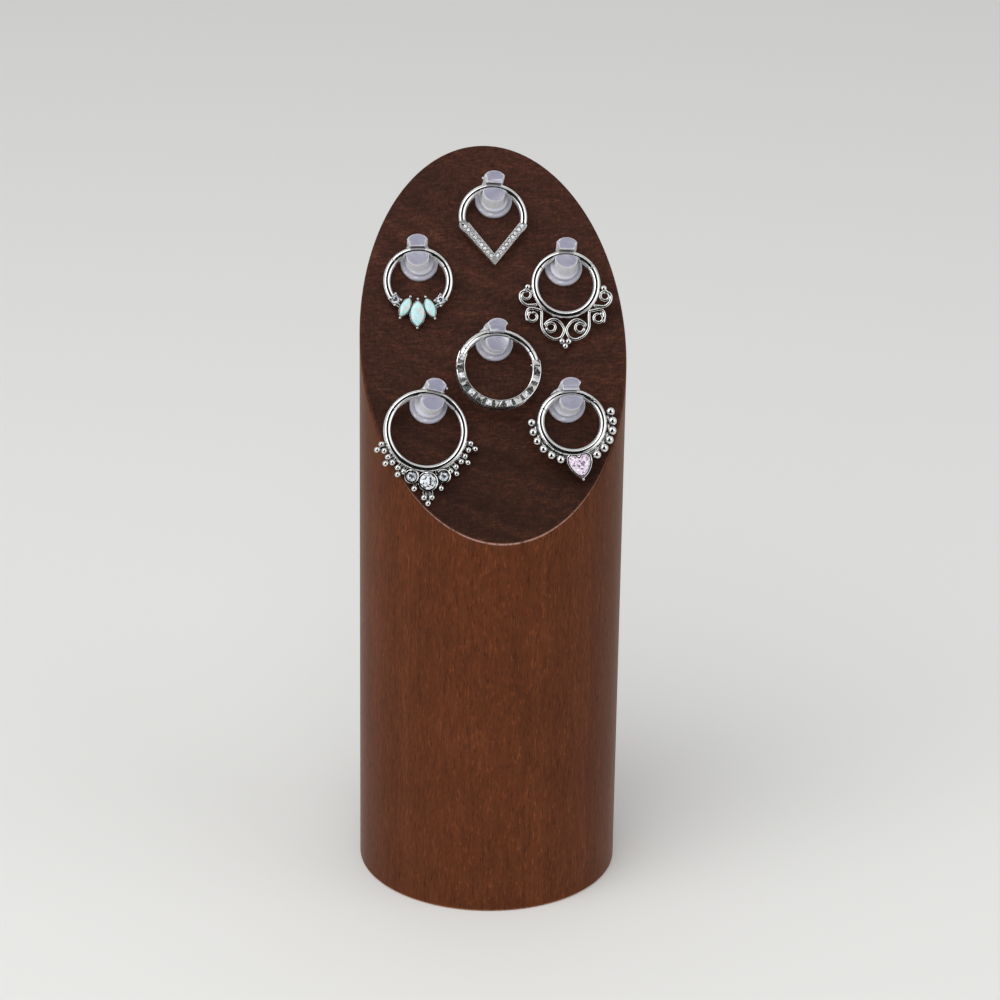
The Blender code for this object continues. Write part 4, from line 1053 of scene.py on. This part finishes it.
def with_joints(body, place):
    """Rounds the body's end about the hinge, and cuts the fork, the pin's hole and the snap's recess."""
    knuckle = cylinder(WIRE_DIAMETER, -2 * WIRE_DIAMETER, 2 * WIRE_DIAMETER, KNUCKLE_SIDES)
    past_hinge = at(-hinge_side(place) * (WIRE_DIAMETER + KNUCKLE_START))
    around = moved(box(2 * WIRE_DIAMETER, 2 * WIRE_DIAMETER, 2 * WIRE_DIAMETER), past_hinge)
    around = moved(cut(around, knuckle), hinge_frame(place))
    fork = moved(cylinder(2 * KNUCKLE_REACH, -FORK_SLOT / 2, FORK_SLOT / 2, FORK_SIDES), hinge_frame(place))
    return cut(body, around, fork, pin_hole(place), snap_ball(place, NUB_CLEARANCE))


def wire_body(place, start, end):
    return swept_arc(round_profile(WIRE_DIAMETER), wire_path_radius(place), start, end)


def plain_body(place):
    return with_joints(wire_body(place, *body_ends(place)), place)


def ring_body(obj, place, material=STEEL):
    ring_piece(obj, place, "ring_body", "polished", material, IN_PLACE, BODY_SHARP)


def stone(obj, place, node, slot, material, matrix, sharp=FACET_SHARP):
    ring_piece(obj, place, node, "cut", material, matrix, sharp)


def brilliant(diameter):
    """A round cut stone with a table, star, kite and girdle facets above and two rows of facets below."""
    radius = diameter / 2
    points = []
    for share, height, count, first in BRILLIANT_ROWS:
        points += circle(share * radius, height * radius, count, first)
    return hull(points)


def stone_seat(diameter, depth):
    """The hole for a round stone whose girdle is at height 0: straight above, tapering below."""
    r = diameter / 2 + STONE_GAP
    profile = ((0, depth), (r, depth), (r, -SEAT_WALL * r), (SEAT_TAPER * r, -depth), (0, -depth))
    return turned(profile, SEAT_SIDES)


def soldered_at(outer, spots):
    """Points given by their angle from the ring's top and their distance outside its wire."""
    return [tuple(on_ring(angle, outer + reach).translation) for angle, reach in spots]


def both_sides(spots):
    """Each angle and distance on the ring's right side, followed by its mirror on the left."""
    return [(turn, reach) for angle, reach in spots for turn in (angle, 360 - angle)]


def outer_radius(place):
    return wire_path_radius(place) + WIRE_RADIUS


def teardrop(place):
    outer = outer_radius(place)
    start, end = body_ends(place)
    inner_ends = [on_ring(angle, place.bore / 2).translation[:2] for angle in (end, start)]
    shoulder = [point[:2] for point in soldered_at(outer, TEARDROP_SHOULDER)]
    outline = [
        on_ring(start, outer).translation[:2],
        *shoulder,
        (TEARDROP_BLUNT, TEARDROP_TIP + TEARDROP_BLUNT),
        (0.0, TEARDROP_TIP + TEARDROP_POINT),
        (-TEARDROP_BLUNT, TEARDROP_TIP + TEARDROP_BLUNT),
        *mirrored(shoulder[::-1]),
        on_ring(end, outer).translation[:2],
        inner_ends[0],
        (0.0, TEARDROP_INNER_TIP),
        inner_ends[1],
    ]
    top = TEARDROP_THICKNESS / 2
    arms = with_joints(extruded(outline, -top, top, SETTING_ROUNDING), place)
    tip = Vector((0.0, (TEARDROP_TIP + TEARDROP_INNER_TIP) / 2))
    run = (Vector(outline[-1]) - Vector((0.0, TEARDROP_INNER_TIP))).normalized()
    sideways = Vector((-run.y, run.x)) * PAVE_BEAD_REACH
    spots, beads = [], []
    for side in (1, -1):
        for n in range(PAVE_PER_ARM):
            spot = tip + run * PAVE_PITCH * (n + 1)
            spots.append(Vector((side * spot.x, spot.y, top)))
            middle = tip + run * PAVE_PITCH * (n + 0.5)
            for bead in (middle + sideways, middle - sideways):
                beads.append(Vector((side * bead.x, bead.y, top)))
    arms = cut(arms, *[moved(stone_seat(PAVE_STONE, PAVE_DEPTH), at(*spot)) for spot in spots])
    arms = fused(arms, *[moved(ball(PAVE_BEAD, *PAVE_BALL), at(*bead)) for bead in beads])
    ring_body(arms, place, SATIN_STEEL)
    for n, spot in enumerate(spots, 1):
        matrix = at(*spot) @ turned_by(PAVE_TURN * n)
        stone(brilliant(PAVE_STONE), place, f"pave_stone_{n:02d}", "crystal", SMALL_CRYSTAL, matrix)


def marquise(length, width):
    radius = (length**2 + width**2) / (4 * width)
    half_angle = math.asin(length / 2 / radius)
    angles = [half_angle * (1 - 2 * n / MARQUISE_STEPS) for n in range(MARQUISE_STEPS)]
    right = [(radius * math.cos(angle) - radius + width / 2, radius * math.sin(angle)) for angle in angles]
    return [(side * x, side * y) for side in (1, -1) for x, y in right]


def opal(length, width):
    """A domed marquise stone with a flat back at height 0: each row of its outline shrinks and rises."""
    outline = marquise(length, width)
    bm = bmesh.new()
    levels = [(1.0, 0.0)]
    for n in range(OPAL_ROWS):
        angle = math.pi / 2 * n / OPAL_ROWS
        rise = OPAL_EDGE_SHARE * OPAL_HEIGHT + (1 - OPAL_EDGE_SHARE) * OPAL_HEIGHT * math.sin(angle)
        levels.append((math.cos(angle) ** OPAL_FULLNESS, rise))
    rows = [[bm.verts.new((x * share, y * share, z)) for x, y in outline] for share, z in levels]
    skinned(bm, [*rows, [bm.verts.new((0, 0, OPAL_HEIGHT))]])
    bm.faces.new(rows[0][::-1])
    return object_of("opal", bm)


def opal_ring(place):
    start, end = body_ends(place)
    bridge_ends = (CLAW_ANGLE - BRIDGE_LAP, 360 - CLAW_ANGLE + BRIDGE_LAP)
    bridge = swept_arc(round_profile(BRIDGE_WIRE, THIN_WIRE_SIDES), wire_path_radius(place), *bridge_ends)
    arms = wire_body(place, start, CLAW_ANGLE), wire_body(place, 360 - CLAW_ANGLE, end)
    body = with_joints(fused(arms[0], moved(bridge, at(z=BRIDGE_DROP)), arms[1]), place)
    adders, cutters, stones = [], [], []
    for n, angle in enumerate((CLAW_ANGLE, 360 - CLAW_ANGLE), 1):
        spot = on_ring(angle, CLAW_REACH)
        girdle = spot @ at(z=ROUND_GIRDLE)
        adders.append(moved(box(CLAW_BOX, CLAW_BOX, 2 * ROUND_GIRDLE, CLAW_BOX_ROUNDING), spot))
        for x in (-CLAW_SPREAD, CLAW_SPREAD):
            for y in (-CLAW_SPREAD, CLAW_SPREAD):
                adders.append(moved(ball(CLAW_BEAD, *CLAW_BALL), girdle @ at(x, y)))
        cutters.append(moved(stone_seat(ROUND_STONE, ROUND_SEAT), girdle))
        stones.append((brilliant(ROUND_STONE), f"round_stone_{n}", "crystal", CRYSTAL, girdle))
    crown = OPAL_CLAW_TOP - OPAL_CLAW / 2
    for n, (angle, reach, length, width) in enumerate(OPAL_FAN, 1):
        spot = on_ring(angle, reach)
        claw_reach = (length + OPAL_CLAW) / 2 + STONE_GAP
        plate = marquise(2 * claw_reach - OPAL_CLAW / 2, width + OPAL_RIM)
        claws = []
        for y in (-claw_reach, claw_reach):
            post = cylinder(OPAL_CLAW, OPAL_CLAW_FOOT, crown, OPAL_CLAW_SIDES, FINE_ROUNDING)
            claws.append(moved(post, at(y=y)))
            claws.append(moved(ball(OPAL_CLAW, *CLAW_BALL), at(0.0, y, crown)))
        setting = fused(extruded(plate, OPAL_PLATE_BACK, OPAL_PLATE_TOP, FINE_ROUNDING), *claws)
        adders.append(moved(setting, spot))
        seat = spot @ at(z=OPAL_PLATE_TOP + STONE_GAP)
        stones.append((opal(length, width), f"opal_{n}", "opal", OPAL, seat, OPAL_SHARP))
    ring_body(cut(fused(body, *adders), *cutters), place)
    for shape, *rest in stones:
        stone(shape, place, *rest)


def spiral(centre, start, sweep):
    points = []
    for share in [n / SCROLL_STEPS for n in range(SCROLL_STEPS + 1)]:
        angle = math.radians(start + sweep * share)
        reach = SCROLL_RING * (1 - SCROLL_DRAW * share)
        points.append((centre[0] + reach * math.cos(angle), centre[1] + reach * math.sin(angle), 0.0))
    return points


def filigree_ring(place):
    outer = outer_radius(place)
    body = plain_body(place)
    paths = [smooth_path(soldered_at(outer, points), STROKE_STEPS) for points in STROKES]
    paths += [spiral(soldered_at(outer, [centre])[0], first, sweep) for centre, first, sweep in CURLS]
    adders = [moved(ball(FILIGREE_BEAD), on_ring(180, outer + FILIGREE_TIP))]
    for path in paths:
        adders += [tube(path, SCROLL_WIRE), tube(mirrored(path), SCROLL_WIRE)]
    for turn, reach in both_sides(FILIGREE_BEADS):
        adders.append(moved(ball(FILIGREE_BEAD), on_ring(turn, outer + reach)))
    ring_body(fused(body, *adders), place)


def square_stone():
    points = []
    for row in SQUARE_TABLE_ROWS:
        points += circle(*row)
    for half, height in SQUARE_ROWS:
        points += [(x * half, y * half, height) for x, y in CORNERS]
    return hull(points)


def studded_band(place):
    radius = wire_path_radius(place)
    start, end = body_ends(place)
    stop = 360 + place.hinge - BAND_STOP
    body = fused(
        swept_arc(band_profile(), radius, BAND_START, stop),
        wire_body(place, start, BAND_START + BAND_LAP),
        wire_body(place, stop - BAND_LAP, end),
    )
    body = with_joints(body, place)
    top = BAND_THICKNESS / 2
    studs = [FIRST_STUD] + [(STUD_START + BAND_PITCH * n, 1.0) for n in range(STUDS)]
    spots = [on_ring(STUD_START + BAND_PITCH * (n + 0.5), radius, top) for n in range(STUDS)]
    adders = []
    for angle, share in studs:
        foot = [(x * STUD_BASE / 2 * share, y * STUD_BASE / 2, -STUD_SINK) for x, y in CORNERS]
        crest = [(x * STUD_TOP / 2, y * STUD_TOP / 2, STUD_HEIGHT) for x, y in CORNERS]
        adders.append(moved(hull([*foot, *crest]), on_ring(angle, radius, top)))
    pocket = SQUARE_STONE + 2 * STONE_GAP
    cutters = [moved(box(pocket, pocket, 2 * SQUARE_DEPTH), spot) for spot in spots]
    ring_body(cut(fused(body, *adders), *cutters), place, BRIGHT_STEEL)
    for n, spot in enumerate(spots, 1):
        stone(square_stone(), place, f"square_stone_{n}", "crystal", SMALL_CRYSTAL, spot)


def neck(angle, low, high):
    """A short bar of solder behind a bead, along the radial line at an angle."""
    bar = box(NECK_WIDTH, high - low, NECK_HEIGHT, NECK_ROUNDING)
    return moved(bar, on_ring(angle, (low + high) / 2, NECK_MIDDLE))


def bezel_ring(place):
    outer = outer_radius(place)
    body = plain_body(place)
    adders = []
    for turn, reach in (*both_sides(BEZEL_BEADS), (180, BEZEL_TIP)):
        adders.append(moved(ball(SMALL_BEAD), on_ring(turn, outer + reach)))
        adders.append(neck(turn, wire_path_radius(place), outer + reach))
    cutters, stones = [], []
    for n, (angle, reach, diameter) in enumerate(BEZELS, 1):
        spot = on_ring(angle, outer + reach)
        adders.append(moved(cylinder(diameter, BEZEL_BACK, BEZEL_RIM, BEZEL_SIDES, BEZEL_ROUNDING), spot))
        size = diameter - 2 * BEZEL_WALL - 2 * STONE_GAP
        drop = POINT_DROP * size / 2
        girdle = spot @ at(z=BEZEL_SEAT + drop)
        cutters.append(moved(stone_seat(size, drop + STONE_GAP), girdle))
        stones.append((brilliant(size), f"round_stone_{n}", girdle))
    ring_body(cut(fused(body, *adders), *cutters), place)
    for shape, name, matrix in stones:
        stone(shape, place, name, "crystal", CRYSTAL, matrix)


def heart(steps):
    """The heart's outline, anticlockwise from its tip."""
    right = smooth_path(HEART_HALF, steps)
    left = [Vector(point) for point in mirrored(right[:0:-1])]
    return [*right, Vector(HEART_NOTCH), *left]


def inset(outline, distance):
    """A closed anticlockwise outline with each of its sides moved inwards."""
    points = []
    for before, here, after in zip(outline[-1:] + outline[:-1], outline, outline[1:] + outline[:1]):
        first, second = (here - before).normalized(), (after - here).normalized()
        inwards = Vector((-first.y, first.x))
        bisector = (inwards + Vector((-second.y, second.x))).normalized()
        points.append(here + bisector * distance / bisector.dot(inwards))
    return points


def heart_stone():
    """A heart-shaped stone with a flat table, a row of crown facets and a shallow faceted back."""
    outline = inset(heart(HEART_STONE_STEPS), HEART_WALL + STONE_GAP)
    middle = Vector(HEART_MIDDLE)
    bm = bmesh.new()
    rows = []
    for share, height in HEART_STONE_ROWS:
        rows.append([bm.verts.new((*(middle + (point - middle) * share), height)) for point in outline])
    skinned(bm, rows)
    bm.faces.new(rows[0])
    bm.faces.new(rows[-1][::-1])
    return object_of("heart", bm)


def heart_ring(place):
    outer = outer_radius(place)
    body = plain_body(place)
    profile = round_profile(SOLDER_WIRE, SOLDER_SIDES)
    solder = swept_arc(profile, outer + SOLDER_REACH, LARGE_BEAD_FIRST, 360 - LARGE_BEAD_FIRST)
    adders = [moved(solder, at(z=SOLDER_DROP))]
    beads = [(LARGE_BEAD_FIRST + LARGE_BEAD_PITCH * n, LARGE_BEAD_REACH) for n in range(LARGE_BEADS_A_SIDE)]
    for turn, reach in both_sides(beads):
        adders.append(moved(ball(LARGE_BEAD), on_ring(turn, outer + reach)))
    outline = heart(HEART_STEPS)
    adders.append(extruded(outline, HEART_BACK, HEART_RIM, SETTING_ROUNDING))
    adders.append(tube(HEART_PRONG_PATH, HEART_PRONG))
    pocket = extruded(inset(outline, HEART_WALL), HEART_SEAT, 2 * WIRE_DIAMETER)
    ring_body(cut(fused(body, *adders), pocket), place)
    stone(heart_stone(), place, "heart_stone", "pink_crystal", PINK_CRYSTAL, IN_PLACE)


RING_BODIES = (teardrop, opal_ring, filigree_ring, studded_band, bezel_ring, heart_ring)


# Camera, floor and light, in metres and degrees

CAMERA_ANGLES = (-6.566, 22.817, -0.836)
CAMERA_OFFSET = (0.001334, 0.000149, 0.5565)
SENSOR_WIDTH = 36.0
FOCAL_LENGTH_IN_PICTURE_WIDTHS = 3.65575
CLIP_DISTANCES = (0.01, 100.0)
STUDIO_CENTRE = Vector((0, 0, 0.06))
FLOOR_SIZE = (6.0, 6.0)
FLOOR_GAP = 0.00002
FLOOR_COLOUR = (0.74, 0.74, 0.725)
MATT = 0.9
BLACK = (0.0, 0.0, 0.0)
WHITE = (1.0, 1.0, 1.0)
ROOM_LIGHT = 0.52
ROOM_COLOUR = (0.70, 0.70, 0.69)
# Each soft light's name, direction, distance, size and power
LIGHTS = (
    ("key", (-0.55, -0.75, 0.95), 0.9, (1.1, 1.1), 8.0),
    ("fill", (0.9, -0.55, 0.55), 1.0, (0.8, 1.1), 2.0),
    ("back", (0.1, 0.8, 1.0), 1.0, (0.8, 0.5), 0.3),
)
CARD_DISTANCE = 0.62
CAMERA_CARD = (0.74, 1.15)
TABLE_CARD = (0.74, 1.0)
TABLE_CARD_PLACE = (-0.06, -0.64, 0.002)


def camera():
    """Places the camera, and returns the direction from the object to it."""
    azimuth, elevation, roll = CAMERA_ANGLES
    aim = turned_by(azimuth) @ turned_by(90 - elevation, "X")
    data = bpy.data.cameras.new("camera")
    data.sensor_width = SENSOR_WIDTH
    data.lens = SENSOR_WIDTH * FOCAL_LENGTH_IN_PICTURE_WIDTHS
    data.clip_start, data.clip_end = CLIP_DISTANCES
    obj = new_object("camera", data)
    obj.matrix_world = at(*STUDIO_CENTRE) @ aim @ at(*CAMERA_OFFSET) @ turned_by(-roll)
    bpy.context.scene.camera = obj
    return aim.to_3x3() @ UP


def stage_plane(name, material_name, size, matrix, colour):
    width, depth = size
    mesh = bpy.data.meshes.new(name)
    mesh.from_pydata([(x * width / 2, y * depth / 2, 0.0) for x, y in CORNERS], [], [range(4)])
    material, tree, shader = principled(material_name)
    filled(tree, shader, {"Base Color": colour, "Roughness": MATT})
    mesh.materials.append(material)
    obj = new_object(name, mesh)
    obj.matrix_world = matrix
    return obj


def dark_card(name, size, matrix):
    """A black card that only reflections see, as dark gaps between soft boxes are seen in polished metal."""
    card = stage_plane(name, name, size, matrix, BLACK)
    for ray in ("camera", "diffuse", "shadow", "transmission", "volume_scatter"):
        setattr(card, f"visible_{ray}", False)


def facing(direction, distance):
    """A frame at a distance from the object whose Z axis points away from it."""
    way = Vector(direction).normalized()
    return at(*way * distance + STUDIO_CENTRE) @ way.to_track_quat("Z", "Y").to_matrix().to_4x4()


def studio():
    stage_plane("floor", "pale_floor", FLOOR_SIZE, at(z=-FLOOR_GAP), FLOOR_COLOUR)
    world = bpy.data.worlds.new("soft_room")
    bpy.context.scene.world = world
    world.use_nodes = True
    tree = world.node_tree
    tree.nodes.clear()
    rays = added(tree, "LightPath", {}).outputs
    seen = sums(tree, "MAXIMUM", rays["Is Camera Ray"], rays["Is Glossy Ray"])
    seen = sums(tree, "MAXIMUM", seen, rays["Is Transmission Ray"])
    light = added(tree, "Background", {"Color": WHITE, "Strength": ROOM_LIGHT})
    shown = added(tree, "Background", {"Color": ROOM_COLOUR, "Strength": 1.0})
    choice = added(tree, "MixShader", {0: seen, 1: light.outputs[0], 2: shown.outputs[0]})
    added(tree, "OutputWorld", {"Surface": choice.outputs[0]})
    for name, direction, distance, size, watts in LIGHTS:
        data = bpy.data.lights.new(name, "AREA")
        data.shape = "RECTANGLE"
        data.size, data.size_y = size
        data.energy = watts
        new_object(name, data).matrix_world = facing(direction, distance)


def main():
    towards_camera = camera()
    studio()
    dark_card("camera_card", CAMERA_CARD, facing(towards_camera, CARD_DISTANCE))
    dark_card("table_card", TABLE_CARD, at(*TABLE_CARD_PLACE))
    wood_block()
    for place, build_body in zip(PLACES, RING_BODIES):
        holder(place)
        segment(place)
        hinge_pin(place)
        build_body(place)
    bpy.context.scene.view_settings.view_transform = "Standard"


main()
